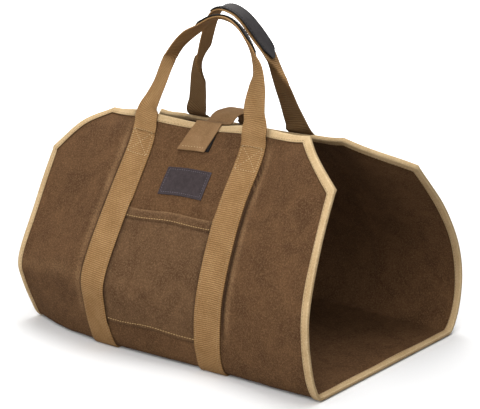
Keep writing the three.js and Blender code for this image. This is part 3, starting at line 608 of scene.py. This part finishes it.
def panelRows(panel):  # every row's x and d, from the top edge to the middle of the floor
    u = np.linspace(-1, 1, canvasSetup["columns"])
    cut = sheetForm["cornerDrop"]
    rows = []
    for d in np.linspace(0, cut, canvasSetup["topRows"]):
        rows.append((u * halfAt(d), np.full_like(u, d)))
    for share in np.linspace(0, 1, canvasSetup["lowRows"])[1:]:
        x = u * halfLength
        rows.append((x, cut + share * (panel.total(x) - cut)))
    return rows


# lighter colour: beside each strap the wax paling at the crease with a painted highlight on its ridge, and
# wear along the left knee line
def canvasWearAndHighlight(panel, x, d):
    nearStrap = bell((np.abs(x) - strapOuter - 0.0085) / 0.0045) * canvasSetup["wearAndHighlightNearStrap"]
    nearStrap = nearStrap * smooth(d / 0.03) * smooth((panel.total(x) - 0.17 - d) / 0.05)
    atKnee = bell((d - panel.knee(x)) / 0.010) * canvasSetup["wearAtKnee"] * smooth(-x / 0.1)
    along = 0.55 + 0.45 * waves(x, d, 21, 0.05)
    return np.clip((nearStrap + atKnee) * along, 0, 1)


def canvasShade(panel, x, d):  # the shadow that the strap's edge casts, and the dark inside of a crease
    line = bell((np.abs(x) - strapOuter - 0.0022) / 0.0022)
    return 0.85 * line * smooth((d - 0.02) / 0.03) * smooth((panel.total(x) - 0.17 - d) / 0.05)


outerRows, innerRows, clothRows, wearAndHighlightRows, shadeRows = [], [], [], [], []
frontRows, backRows = panelRows(front), panelRows(back)
for panel, rows, sign in ((front, frontRows, 1), (back, backRows[-2::-1], -1)):
    for x, d in rows:
        outerRows.append(panel.off(x, d, 0.0))
        innerRows.append(panel.off(x, d, -clothWall))
        clothRows.append(np.stack([x, sign * (d - panel.total(x))], -1))
        wearAndHighlightRows.append(canvasWearAndHighlight(panel, x, d))
        shadeRows.append(canvasShade(panel, x, d))
canvasBody = slab("canvasBody", np.array(outerRows), np.array(innerRows), np.array(clothRows),
                  {"wearAndHighlight": np.array(wearAndHighlightRows), "shade": np.array(shadeRows)})
# the wear, the painted highlight and the painted shadow stay on the outer face
for key in ("wearAndHighlight", "shade"):
    data = canvasBody.data.attributes[key].data
    for i in range(len(data) // 2, len(data)):
        data[i].value = 0.0
dress(canvasBody, "canvas", "waxed_canvas", "canvas_body")

# edge binding
bindingSetup = {"width": 0.008, "wall": 0.001, "lift": 0.0007, "stitchIn": 0.0063, "waver": 0.0004,
                "step": 0.005}


def edgeStops():  # the way round the edge: panel, x, d, and the direction into the sheet in x and d
    cut, spacing = sheetForm["cornerDrop"], bindingSetup["step"]
    intoX, intoD = 1 / math.hypot(1, cutSlope), cutSlope / math.hypot(1, cutSlope)
    topTilt, sideTilt = intoX / (1 + intoD), intoD / (1 + intoX)
    stops = []

    def across(panel, sign):
        count = int(2 * topHalf / spacing)
        for k in range(count + 1):
            x = sign * (-topHalf + 2 * topHalf * k / count)
            turn = sign * topTilt if k == 0 else (-sign * topTilt if k == count else 0.0)
            stops.append((panel, x, 0.0, turn, 1.0))

    def cutEdge(panel, sign, down):
        count = int(cut / 0.004)
        places = [cut * k / count for k in range(1, count)]
        for d in places if down else places[::-1]:
            stops.append((panel, sign * (topHalf + d * cutSlope), d, -sign * intoX, intoD))

    def corner(panel, sign):
        stops.append((panel, sign * halfLength, cut, -sign, sideTilt))

    def run(panel, sign, down):
        total = float(panel.total(sign * halfLength))
        count = int((total - cut) / spacing)
        places = [cut + (total - cut) * k / count for k in range(1, count + (1 if down else 0))]
        for d in places if down else places[::-1]:
            stops.append((panel, sign * halfLength, d, -sign, 0.0))

    for sign, ahead, beyond in ((1, front, back), (-1, back, front)):
        across(ahead, sign)
        cutEdge(ahead, sign, True)
        corner(ahead, sign)
        run(ahead, sign, True)
        run(beyond, sign, False)
        corner(beyond, sign)
        cutEdge(beyond, sign, False)
    return stops


def bindingProfile():  # round the fold: how far in from the edge, and how far off the outer face
    near = layerGap
    far = near + bindingSetup["wall"]
    w, t = bindingSetup["width"], clothWall
    middle = -t / 2
    upper = [(w, near), (w, far * 0.8), (w - 0.0008, far), (w * 0.75, far), (w * 0.45, far), (w * 0.15, far)]
    turns = [math.pi * k / 6 for k in range(1, 6)]
    fold = [(-far * math.sin(a), middle + (t / 2 + far) * math.cos(a)) for a in turns]
    lower = [(inward, -t - offset) for inward, offset in upper[::-1]]
    inside = [(w * 0.5, -t - near), (0.0, -t - near), (-near, middle), (0.0, near), (w * 0.5, near)]
    return upper + fold + lower + inside


stops = edgeStops()
profile = bindingProfile()
points, cloth, shadeMask, wearMask = [], [], [], []
run = 0.0
previous = None
stitchLines = {"outer": [], "inner": []}
for k, (panel, x, d, inX, inD) in enumerate(stops):
    edgePoint = panel.point(x, d)
    run += 0.0 if previous is None else float(np.linalg.norm(edgePoint - previous))
    previous = edgePoint
    edgeNormal = panel.normal(x, d)
    waver = bindingSetup["waver"] * (math.sin(run * 61.0) + math.sin(run * 23.0 + 1.0))
    lift = bindingSetup["lift"] if (inX and inD) or (d == 0.0 and abs(x) > strapOuter) else 0.0
    around = 0.0
    for inward, offset in profile:
        far = inward + (waver if inward > 0.006 else 0.0)
        px, pd = x + inX * far, d + inD * far
        if far > 0:
            n, base = panel.normal(px, pd), panel.point(px, pd)
        else:
            n, base = edgeNormal, panel.point(px, pd)
        height = offset + (lift if offset > -clothWall / 2 else -lift) + float(softRelief(panel, px, pd))
        points.append(base + n * height)
        cloth.append((run, around))
        around += 0.002
        besideWeb = abs(x) - strapOuter - 0.003
        shadeMask.append(0.8 * bell(besideWeb / 0.003) if d == 0.0 and panel is front else 0.0)
        wearMask.append(0.6 if abs(inward) < 0.001 else 0.0)
    for key, offset in (("outer", layerGap + bindingSetup["wall"]),
                        ("inner", -clothWall - layerGap - bindingSetup["wall"])):
        px, pd = x + inX * bindingSetup["stitchIn"], d + inD * bindingSetup["stitchIn"]
        n = panel.normal(px, pd)
        height = offset + (lift if key == "outer" else -lift) + float(softRelief(panel, px, pd))
        stitchLines[key].append((panel.point(px, pd) + n * height, n if key == "outer" else -n))
sections, ringSize = len(stops), len(profile)
faces = []
for s in range(sections):
    after = (s + 1) % sections
    for k in range(ringSize):
        n = (k + 1) % ringSize
        faces.append((s * ringSize + k, s * ringSize + n, after * ringSize + n, after * ringSize + k))
edgeBinding = makeMesh("edgeBinding", np.array(points), faces, np.array(cloth),
                       {"shade": shadeMask, "wearAndHighlight": wearMask})
dress(edgeBinding, "binding", "binding_tape", "edge_binding")
bindingStitch = {"pitch": 0.0042, "length": 0.0031, "thick": 0.0007, "rise": 0.00025}
rowsOfStitches = []
for key in ("outer", "inner"):
    line = stitchLines[key] + stitchLines[key][:1]
    rowsOfStitches.append(stitchRow(*(np.array(part) for part in zip(*line)), bindingStitch))
dress(stitchPiece("bindingStitches", rowsOfStitches), "tanThread", "binding_tape")
print("log carrier: edge binding and its stitches")

# pocket and label
pocketSetup = {"top": 0.119, "height": 0.145, "tuck": 0.006, "wall": 0.0012, "hem": 0.012,
               "bottomSeam": 0.0045, "hemRise": 0.0008, "columns": 61, "rows": 75}
labelSetup = {"width": 0.064, "height": 0.036, "top": 0.061, "shift": 0.002, "wall": 0.0016,
              "border": 0.003, "columns": 45, "rows": 27}


def plate(name, panel, xs, ds, offset, wall, extra=None, masks=None):
    x, d = np.meshgrid(xs, ds)
    rise = np.zeros_like(x) if extra is None else extra(x, d)
    outer = panel.off(x, d, offset + wall + rise)
    inner = panel.off(x, d, offset)
    marks = {k: f(x, d) for k, f in (masks or {}).items()}
    return slab(name, outer, inner, np.stack([x, d], -1), marks)


def pocketRise(x, d):
    inHem = smooth((pocketSetup["top"] + pocketSetup["hem"] + 0.002 - d) / 0.002)
    fromTop = np.clip((d - pocketSetup["top"]) / 0.001, 0, 1)
    puff = 0.0012 * bell((d - pocketSetup["top"] - 0.02) / 0.03) * np.cos(x / strapInner * math.pi / 2) ** 2
    return (inHem * pocketSetup["hemRise"] + puff * 0.5) * (0.4 + 0.6 * fromTop)


def pocketShade(x, d):
    seam = bell((d - pocketSetup["top"] - pocketSetup["hem"] - 0.0015) / 0.0012) * 0.45
    sides = bell((strapInner - np.abs(x)) / 0.0035) * 0.5
    return np.clip(seam + sides, 0, 1)


pocketSide = strapInner + pocketSetup["tuck"] * 0.8
pocketDs = np.concatenate([
    pocketSetup["top"] + np.array([0, 0.0006, 0.0014]),
    pocketSetup["top"] + np.linspace(0.004, pocketSetup["height"], pocketSetup["rows"])])
pocketXs = np.linspace(-pocketSide, pocketSide, pocketSetup["columns"])
pocketFront = plate("pocketFront", front, pocketXs, pocketDs, layerGap, pocketSetup["wall"], pocketRise,
                    {"shade": pocketShade, "wearAndHighlight": lambda x, d: 0.5 * bell((d - pocketSetup["top"]) / 0.002)})
dress(pocketFront, "pocket", "pocket_canvas", "pocket_front")


def panelStitches(panel, x, d, offset, settings):
    return stitchRow(panel.off(x, d, offset), panel.normal(x, d), settings)


def stitchPath(panel, corners, offset, settings, count):  # straight seams from corner to corner
    t = np.linspace(0, 1, count)
    return [panelStitches(panel, mixed(xa, xb, t), mixed(da, db, t), offset, settings)
            for (xa, da), (xb, db) in zip(corners, corners[1:])]


pocketStitch = {"pitch": 0.0036, "length": 0.0031, "thick": 0.0008, "rise": 0.0003}
pocketFace = layerGap + pocketSetup["wall"]
span = np.linspace(-strapInner + 0.001, strapInner - 0.001, 60)
pocketLines = []
for d, rise in ((pocketSetup["top"] + pocketSetup["hem"] - 0.0015, pocketSetup["hemRise"] + 0.0005),
                (pocketSetup["top"] + pocketSetup["height"] - pocketSetup["bottomSeam"], 0.0)):
    pocketLines.append(panelStitches(front, span, d, pocketFace + rise, pocketStitch))
dress(stitchPiece("pocketStitches", pocketLines), "paleThread", "pocket_canvas")


def labelEdgeDistance(x, d):
    return np.minimum(labelSetup["width"] / 2 - np.abs(x - labelSetup["shift"]),
                      labelSetup["height"] / 2 - np.abs(d - labelSetup["top"] - labelSetup["height"] / 2))


def labelRise(x, d):  # a rounded rim and a pressed line inside the stitches
    inside = labelEdgeDistance(x, d)
    rim = -0.0006 * np.clip(1 - inside / 0.0012, 0, 1) ** 2
    pressed = -0.0004 * bell((inside - labelSetup["border"] * 1.9) / 0.0007)
    return rim + pressed


label = plate("label", front,
              labelSetup["shift"] + labelSetup["width"] * np.linspace(-0.5, 0.5, labelSetup["columns"]),
              labelSetup["top"] + labelSetup["height"] * np.linspace(0, 1, labelSetup["rows"]),
              layerGap, labelSetup["wall"], labelRise,
              {"edge": lambda x, d: np.clip(1 - labelEdgeDistance(x, d) / 0.0012, 0, 1)})
dress(label, "label", "label_leather", "label")
labelStitch = {"pitch": 0.0032, "length": 0.0022, "thick": 0.0006, "rise": 0.00025}
labelHalf = labelSetup["width"] / 2 - labelSetup["border"]
x0, x1 = labelSetup["shift"] - labelHalf, labelSetup["shift"] + labelHalf
d0 = labelSetup["top"] + labelSetup["border"]
d1 = labelSetup["top"] + labelSetup["height"] - labelSetup["border"]
labelLines = stitchPath(front, [(x0, d0), (x1, d0), (x1, d1), (x0, d1), (x0, d0)],
                        layerGap + labelSetup["wall"], labelStitch, 24)
dress(stitchPiece("labelStitches", labelLines), "greyThread", "label_leather")
print("log carrier: pocket and label")

# straps
strapSetup = {"start": 0.02402, "rows": 150, "seamIn": 0.0035, "boxTop": 0.0222, "boxBottom": 0.0525}
webPlaces = np.array([0.0, 0.0005, 0.0014, 0.004, 0.0075, 0.012, 0.016, 0.019, 0.022, 0.026, 0.0305, 0.034,
                      0.0366, 0.0375, 0.038])


def roundedEdge(beside, width, wall):  # how much thinner the webbing is beside its edges
    inside = np.minimum(beside, width - beside)
    return wall * 0.45 * np.clip(1 - inside / 0.0015, 0, 1) ** 2


def strapLift(panel, beside, d):
    if panel is back:
        return np.zeros_like(d)
    slope = 0.014
    top, low = pocketSetup["top"], pocketSetup["top"] + pocketSetup["height"]
    along = smooth((d - top + slope) / slope) * smooth((low + slope - d) / slope)
    reach = webWidth / 2
    across = smooth((reach - beside) / (reach - pocketSetup["tuck"] - 0.001))
    return along * across * (pocketSetup["wall"] + layerGap)


def strapGrid(sign):
    outer, inner, cloth = [], [], []
    start = strapSetup["start"]
    thin = roundedEdge(webPlaces, webWidth, webWall)
    shares = np.linspace(0, 1, strapSetup["rows"])
    x = sign * (strapInner + webPlaces)
    totalRun = front.total(x) + back.total(x)
    for panel, order in ((front, shares), (back, shares[-2::-1])):
        for share in order:
            d = start + share * (panel.total(x) - start)
            lift = strapLift(panel, webPlaces, d)
            outer.append(panel.off(x, d, webGap + webWall + lift - thin))
            inner.append(panel.off(x, d, webGap + lift + thin * 0.5))
            along = d if panel is front else totalRun - d
            cloth.append(np.stack([webPlaces, along], -1))
    return np.array(outer), np.array(inner), np.array(cloth)


boxStitch = {"pitch": 0.0036, "length": 0.0020, "thick": 0.0008, "rise": 0.0003}
seamStitch = {"pitch": 0.0040, "length": 0.0028, "thick": 0.0006, "rise": 0.0002}
creamLines, seamLines = [], []
for sign, name, node in ((-1, "strapLeft", "strap_left"), (1, "strapRight", "strap_right")):
    outer, inner, cloth = strapGrid(sign)
    strap = slab(name, outer, inner, cloth, {"shade": np.zeros(outer.shape[:2])})
    dress(strap, "strap", "webbing", node)
    face = webGap + webWall + 0.0001
    inX, outX = sign * (strapInner + strapSetup["seamIn"]), sign * (strapOuter - strapSetup["seamIn"])
    for panel in (front, back):
        topD, lowD = strapSetup["boxTop"], strapSetup["boxBottom"]
        border = [(inX, topD), (outX, topD), (outX, lowD), (inX, lowD), (inX, topD)]
        for corners in (border, [(inX, topD), (outX, lowD)], [(outX, topD), (inX, lowD)]):
            creamLines += stitchPath(panel, corners, face, boxStitch, 20)
        for x in (inX, outX):
            ds = np.linspace(lowD + 0.004, float(panel.total(x)), 200)
            lift = strapLift(panel, abs(x) - strapInner, ds)
            seamLines.append(panelStitches(panel, x, ds, face + lift, seamStitch))
dress(stitchPiece("strapBoxStitches", creamLines), "creamThread", "webbing")
dress(stitchPiece("strapSeamStitches", seamLines), "tanThread", "webbing")
print("log carrier: straps")

# handles
sewnOffset = 2 * layerGap + bindingSetup["lift"] + bindingSetup["wall"] + webWall / 2
handleSetups = {
    "front": {
        "panel": front, "rise": 0.120, "lean": 0.027,
        "rows": [(-0.840, 0.31, 0.278), (-0.702, 0.57, 0.553), (-0.534, 0.70, 0.718),
                 (-0.289, 0.87, 0.865), (0.064, 0.97, 0.987), (0.348, 0.96, 0.961),
                 (0.609, 0.88, 0.825), (0.798, 0.70, 0.624), (0.893, 0.53, 0.470),
                 (0.919, 0.31, 0.280)],
        "left": (-0.0009, [(0, -18), (0.25, -27), (0.43, -27), (0.52, 106), (0.75, 99), (1, 117)]),
        "right": (0.0142, [(0, 15), (0.2, 13), (0.36, 29), (0.5, 48), (0.64, 64), (1, 79)]),
    },
    "back": {
        "panel": back, "rise": 0.150, "lean": 0.030,
        "rows": [(-0.942, 0.15, 0.113), (-0.835, 0.40, 0.359), (-0.697, 0.63, 0.505),
                 (-0.378, 0.90, 0.882), (-0.121, 1.00, 0.963), (0.157, 0.93, 0.919),
                 (0.461, 0.75, 0.734), (0.666, 0.54, 0.539), (0.794, 0.27, 0.298)],
        "left": (0.0107, [(0, 14), (0.2, 19), (0.36, 24), (0.52, 78), (0.75, 80), (1, 94)]),
        "right": (-0.0172, [(0, -5), (0.25, -19), (0.38, -22), (0.5, 114), (0.7, 106), (1, 112)]),
    },
}
gripSetup = {"length": 0.110, "width": 0.034, "shift": 0.027, "wall": 0.0018, "point": 0.012, "tip": 0.012,
             "gap": 0.00105, "seamIn": 0.003}
gripStitch = {"pitch": 0.0042, "length": 0.0032, "thick": 0.0007, "rise": 0.0003}


class Loop:  # the free part of one handle
    def __init__(self, setup):
        self.setup = setup
        panel = setup["panel"]
        self.panel, self.sign = panel, panel.sign
        left = self.footPoint(-sheetForm["strapAt"])
        right = self.footPoint(sheetForm["strapAt"])
        points = [left]
        for across, lean, rise in setup["rows"]:
            base = left + (right - left) * (across + 1) / 2
            y, z = base[1] - self.sign * lean * setup["lean"], base[2] + rise * setup["rise"]
            points.append(np.array([across * sheetForm["strapAt"], y, z]))
        points.append(right)
        self.line = curveThrough(points, 900)
        self.run = lengthsOf(self.line)
        self.length = float(self.run[-1])
        out = np.array([0.0, self.sign * setup["rise"], setup["lean"]])
        self.out = out / np.linalg.norm(out)

    def footPoint(self, x):
        return self.panel.point(x, 0.0) + self.panel.normal(x, 0.0) * sewnOffset

    def at(self, distance):
        return placeAt(distance, self.run, self.line)

    def along(self, distance):
        t = self.at(min(distance + 0.002, self.length)) - self.at(max(distance - 0.002, 0))
        return t / np.linalg.norm(t)

    def turned(self, distance, beside, facing, arch):  # where the face looks: short at a crease
        def leg(fromFoot, slant, rows):
            at = np.clip((fromFoot + slant * beside / (webWidth / 2)) / (self.length / 2), 0, 1)
            i = 0
            while i < len(rows) - 2 and at > rows[i + 1][0]:
                i += 1
            share = smooth((at - rows[i][0]) / (rows[i + 1][0] - rows[i][0]))
            first, second = math.radians(rows[i][1]), math.radians(rows[i + 1][1])
            return mixed(facing * math.cos(first) - arch * math.sin(first),
                         facing * math.cos(second) - arch * math.sin(second), share)
        left, right = leg(distance, *self.setup["left"]), leg(self.length - distance, *self.setup["right"])
        return mixed(left, right, smooth((distance / self.length - 0.4) / 0.2))

    def section(self, distance, places):
        distance = float(np.clip(distance, 0, self.length))
        centre, along = self.at(distance), self.along(distance)
        facing = self.out - along * float(self.out @ along)
        facing /= np.linalg.norm(facing)
        arch = np.cross(along, facing) * self.sign
        points, normals = [], []
        for beside in places:
            p = centre.copy()
            for k in range(6):
                part = self.turned(distance, beside * (k + 0.5) / 6, facing, arch)
                p = p - np.cross(along, part) * self.sign * beside / 6
            points.append(p)
            face = self.turned(distance, beside, facing, arch)
            normals.append(face / np.linalg.norm(face))
        return np.array(points), np.array(normals)


def handleRows(loop, places):
    panel = loop.panel
    release = 0.016  # the run over which a leg comes away from the panel

    def sewn(legSign, d):
        x = legSign * (sheetForm["strapAt"] - places)
        settle = smooth(1 - (d - bindingSetup["width"]) / 0.008)
        n = panel.normal(x, d)
        return panel.point(x, d) + n * mixed(webGap + webWall / 2, sewnOffset, settle), n

    def letGo(legSign, above):
        points, normals = loop.section(above if legSign < 0 else loop.length - above, places)
        share = smooth(above / release)
        p, n = sewn(legSign, -above)
        n = mixed(n, normals, share)
        return mixed(p, points, share), n / np.linalg.norm(n, axis=1, keepdims=True)

    downRows = [0.02394, 0.020, 0.0165, 0.013, 0.0095, 0.006, 0.003]
    upRows = [0.0, 0.002, 0.004, 0.006, 0.008, 0.010, 0.012, 0.014]
    rows = [(-d, *sewn(-1, d)) for d in downRows] + [(above, *letGo(-1, above)) for above in upRows]
    rows += [(s, *loop.section(s, places)) for s in np.linspace(release, loop.length - release, 190)]
    rows += [(loop.length - above, *letGo(1, above)) for above in upRows[::-1]]
    rows += [(loop.length + d, *sewn(1, d)) for d in downRows[::-1]]
    return [np.array(part) for part in zip(*rows)]


def ribbon(name, points, normals, low, high, thin, cloth, masks=None):
    outer = points + normals * (high - thin)[..., None]
    inner = points + normals * (low + thin)[..., None]
    return slab(name, outer, inner, cloth, masks)


def webRibbon(name, points, normals, runs, wall, masks=None):
    thin = np.broadcast_to(roundedEdge(webPlaces, webWidth, wall) * 0.6, points.shape[:2])
    cloth = np.stack(np.meshgrid(webPlaces, runs), -1)
    return ribbon(name, points, normals, -wall / 2, wall / 2, thin, cloth, masks)


gripLines = []
for key, node in (("front", "handle_front"), ("back", "handle_back")):
    loop = Loop(handleSetups[key])
    places = webPlaces - webWidth / 2
    runs, points, normals = handleRows(loop, places)
    mouthShadow = np.zeros(points.shape[:2])
    if key == "back":  # painted shadow: the back legs' inner faces, low in the mouth and facing the front, are darkened as if in shade
        mouthShadow = 0.62 * smooth((normals[..., 1] - 0.15) / 0.5) * smooth((0.385 - points[..., 2]) / 0.03)
    handle = webRibbon("handle" + key.capitalize(), points, normals, runs, webWall, {"shade": mouthShadow})
    dress(handle, "handle", "webbing", node)

    start = loop.length / 2 + gripSetup["shift"] - gripSetup["length"] / 2
    point, rest = gripSetup["point"], gripSetup["length"] - gripSetup["point"]
    stopsAlong = np.concatenate([np.linspace(0, point, 9), np.linspace(point, rest, 66)[1:-1],
                                 np.linspace(rest, gripSetup["length"], 9)])
    shares = np.array([-0.5, -0.485, -0.455, -0.4, -0.3, -0.2, -0.1,
                       0, 0.1, 0.2, 0.3, 0.4, 0.455, 0.485, 0.5])
    gripPoints, gripNormals, gripCloth, gripEdge, gripThin = [], [], [], [], []
    for s in stopsAlong:
        fromEnd = min(s, gripSetup["length"] - s)
        width = mixed(gripSetup["tip"], gripSetup["width"], min(1.0, fromEnd / gripSetup["point"]))
        p, n = loop.section(start + s, shares * width)
        gripPoints.append(p)
        gripNormals.append(n)
        gripCloth.append(np.stack([shares * width, np.full_like(shares, s)], -1))
        inside = np.minimum((0.5 - np.abs(shares)) * width, fromEnd + 0.0003)
        gripEdge.append(np.clip(1.25 - inside / 0.0014, 0, 1))
        gripThin.append(0.0006 * np.clip(1 - inside / 0.0016, 0, 1) ** 2)
    gripPoints, gripNormals = np.array(gripPoints), np.array(gripNormals)
    near = -(webWall / 2 + gripSetup["gap"])
    grip = ribbon("grip" + key.capitalize(), gripPoints, gripNormals, near - gripSetup["wall"], near,
                  np.array(gripThin), np.array(gripCloth), {"edge": np.array(gripEdge)})
    dress(grip, "grip", "grip_leather", "grip_" + key)

    low, high = start + gripSetup["point"] * 0.6, start + gripSetup["length"] - gripSetup["point"] * 0.6
    for side in (-1, 1):
        beside = side * (gripSetup["width"] / 2 - gripSetup["seamIn"])
        line = [loop.section(t, [beside]) for t in np.linspace(low, high, 60)]
        p, n = (np.array(part)[:, 0] for part in zip(*line))
        gripLines.append(stitchRow(p + n * (near - gripSetup["wall"]), -n, gripStitch))
dress(stitchPiece("gripStitches", gripLines), "darkThread", "grip_leather")
print("log carrier: handles and grips")

# closure strap
closureSetup = {"width": 0.038, "wall": 0.0018, "tab": 0.038, "swing": 0.008, "backTab": 0.048,
                "shift": -0.001, "arch": 0.018, "slack": 0.00015,
                "patchWall": 0.0012, "patchWidth": 0.032, "patchHeight": 0.021, "patchTop": 0.015,
                "rows": [(0.08, 0.0), (0.16, -0.02), (0.23, 0.10), (0.31, 0.40), (0.42, 0.67), (0.56, 0.82),
                         (0.72, 0.93), (0.87, 0.90), (0.97, 0.50)]}
patchFace = 2 * layerGap + closureSetup["slack"] + closureSetup["patchWall"]


def tabShift(panel, d):  # the front end hangs over to the left
    return closureSetup["swing"] * float(np.clip(d / closureSetup["tab"], 0, 1)) if panel is front else 0.0


def closurePath(places):
    setup = closureSetup
    overEdge = -(bindingSetup["wall"] + 3 * layerGap + setup["wall"] / 2)
    xs = setup["shift"] + places

    def onPanel(panel, d):
        swung = xs - tabShift(panel, d)
        n = panel.normal(swung, d)
        return panel.point(swung, d) + n * (patchFace + setup["wall"] / 2), n

    middle = len(places) // 2
    first, last = onPanel(front, overEdge)[0][middle], onPanel(back, overEdge)[0][middle]
    hump = [mixed(first, last, a) + np.array([0, 0, r * setup["arch"]]) for a, r in setup["rows"]]
    path = curveThrough([first, *hump, last], 400)
    run = lengthsOf(path)
    rows = [(-d, *onPanel(front, d)) for d in np.linspace(setup["tab"], overEdge, 26)]
    for s in np.linspace(0, run[-1], 52)[1:-1]:
        centre = placeAt(s, run, path)
        t = placeAt(min(s + 0.002, run[-1]), run, path) - placeAt(max(s - 0.002, 0), run, path)
        n = np.array([0.0, -t[2], t[1]])
        n /= np.linalg.norm(n)
        line = np.stack([xs, np.full_like(xs, centre[1]), np.full_like(xs, centre[2])], -1)
        rows.append((0.003 + s, line, np.broadcast_to(n, line.shape)))
    rows += [(0.006 + run[-1] + d, *onPanel(back, d)) for d in np.linspace(overEdge, setup["backTab"], 26)]
    return [np.array(part) for part in zip(*rows)]


places = webPlaces - closureSetup["width"] / 2
runs, points, normals = closurePath(places)
closureStrap = webRibbon("closureStrap", points, normals, runs, closureSetup["wall"])
dress(closureStrap, "closure", "closure_webbing", "closure_strap")
closureLines = []
closureFace = patchFace + closureSetup["wall"]
xs = closureSetup["shift"] + np.linspace(-0.016, 0.016, 24)
for panel, ds in ((front, (0.033,)), (back, (0.020, 0.044))):
    for d in ds:
        closureLines.append(panelStitches(panel, xs - tabShift(panel, d), d, closureFace, boxStitch))
dress(stitchPiece("closureStitches", closureLines), "creamThread", "closure_webbing")
closurePatch = plate("closurePatch", front,
                     closureSetup["shift"] + closureSetup["patchWidth"] * np.linspace(-0.5, 0.5, 17),
                     closureSetup["patchTop"] + closureSetup["patchHeight"] * np.linspace(0, 1, 15),
                     layerGap, closureSetup["patchWall"])
dress(closurePatch, "patch", "hook_and_loop", "closure_patch")
print("log carrier: closure strap")

# stage, light, camera
cameraSetup = {"azimuth": 39.0, "elevation": 14.79, "lens": 105.0, "place": (1.07095, -1.31491, 0.60937)}


def plainMaterial(name, colour, roughness):
    material = bpy.data.materials.new(name)
    material.use_nodes = True
    setInputs(material.node_tree.nodes["Principled BSDF"], {"Base Color": colour, "Roughness": roughness})
    return material


floorMesh = bpy.data.meshes.new("studioFloor")
depthLine = [(-2.0, 0.0), (0.9, 0.0)] + [(0.9 + 1.2 * math.sin(a), 1.2 - 1.2 * math.cos(a))
                                         for a in np.linspace(0.1, math.pi / 2, 14)] + [(2.1, 4.0)]
floorPoints = [(x, y, z - 0.0003) for y, z in depthLine for x in (-7.0, 7.0)]
floorQuads = [(2 * k, 2 * k + 1, 2 * k + 3, 2 * k + 2) for k in range(len(depthLine) - 1)]
floorMesh.from_pydata(floorPoints, [], floorQuads)
floorMesh.polygons.foreach_set("use_smooth", [True] * len(floorMesh.polygons))
studioFloor = bpy.data.objects.new("studioFloor", floorMesh)
studioFloor.rotation_euler.z = math.radians(cameraSetup["azimuth"])
paleFloor = plainMaterial("paleFloor", (0.93, 0.93, 0.93, 1), 0.9)
floorTree = paleFloor.node_tree
seenFloor = addNode(floorTree, "ShaderNodeLightPath").outputs["Is Camera Ray"]
floorShader = floorTree.nodes["Principled BSDF"]
floorTree.links.new(blendColour(floorTree, seenFloor, (0.34, 0.33, 0.32, 1), (0.95, 0.95, 0.95, 1)),
                    floorShader.inputs["Base Color"])
# far from the carrier the floor fades to white, from every side
fromMiddle = addNode(floorTree, "ShaderNodeVectorMath", operation="LENGTH")
floorTree.links.new(addNode(floorTree, "ShaderNodeNewGeometry").outputs["Position"], fromMiddle.inputs[0])
fade = ramp(floorTree, fromMiddle.outputs["Value"], 0.8, 2.0)
floorTree.links.new(times(floorTree, seenFloor, fade), floorShader.inputs["Emission Strength"])
floorShader.inputs["Emission Color"].default_value = (1, 1, 1, 1)
# the sweep is clear from behind, so that the carrier's back is seen past it
behind = addNode(floorTree, "ShaderNodeNewGeometry").outputs["Backfacing"]
floorTree.links.new(mathNode(floorTree, "SUBTRACT", 1.0, behind), floorShader.inputs["Alpha"])
studioFloor.data.materials.append(paleFloor)
bpy.context.scene.collection.objects.link(studioFloor)

world = bpy.data.worlds.new("softRoom")
world.use_nodes = True
room = world.node_tree
seen = addNode(room, "ShaderNodeLightPath").outputs["Is Camera Ray"]
room.links.new(plus(room, times(room, seen, 0.75), 0.30), room.nodes["Background"].inputs[1])
room.nodes["Background"].inputs[0].default_value = (1, 1, 1, 1)
bpy.context.scene.world = world

lightSetups = [
    {"name": "keyLight", "place": (0.7, -1.5, 1.6), "size": 1.2, "power": 20.0},
    {"name": "fillLight", "place": (-1.3, -1.7, 0.8), "size": 1.5, "power": 9.0},
    {"name": "lowLight", "place": (0.5, -1.7, 0.22), "size": 1.1, "power": 13.0},
    {"name": "topLight", "place": (0.2, 0.1, 2.2), "size": 1.4, "power": 29.0},
    {"name": "wallLight", "place": (-1.1, 0.9, 2.2), "size": 2.0, "power": 60.0, "aim": (-1.6, 2.4, 0.9)},
]
for setup in lightSetups:
    data = bpy.data.lights.new(setup["name"], "AREA")
    data.energy, data.size = setup["power"], setup["size"]
    lamp = bpy.data.objects.new(setup["name"], data)
    lamp.location = setup["place"]
    towards = Vector(setup.get("aim", (0, 0, 0.18))) - Vector(setup["place"])
    lamp.rotation_euler = towards.to_track_quat("-Z", "Y").to_euler()
    bpy.context.scene.collection.objects.link(lamp)

camera = bpy.data.objects.new("camera", bpy.data.cameras.new("camera"))
camera.data.lens = cameraSetup["lens"]
camera.data.sensor_width = 36.0
camera.location = Vector(cameraSetup["place"]) + Vector(sheetForm["shift"])
camera.rotation_euler = (math.radians(90 - cameraSetup["elevation"]), 0, math.radians(cameraSetup["azimuth"]))
bpy.context.scene.collection.objects.link(camera)
bpy.context.scene.camera = camera
bpy.context.scene.view_settings.view_transform = "Standard"
print("log carrier: stage, light and camera")
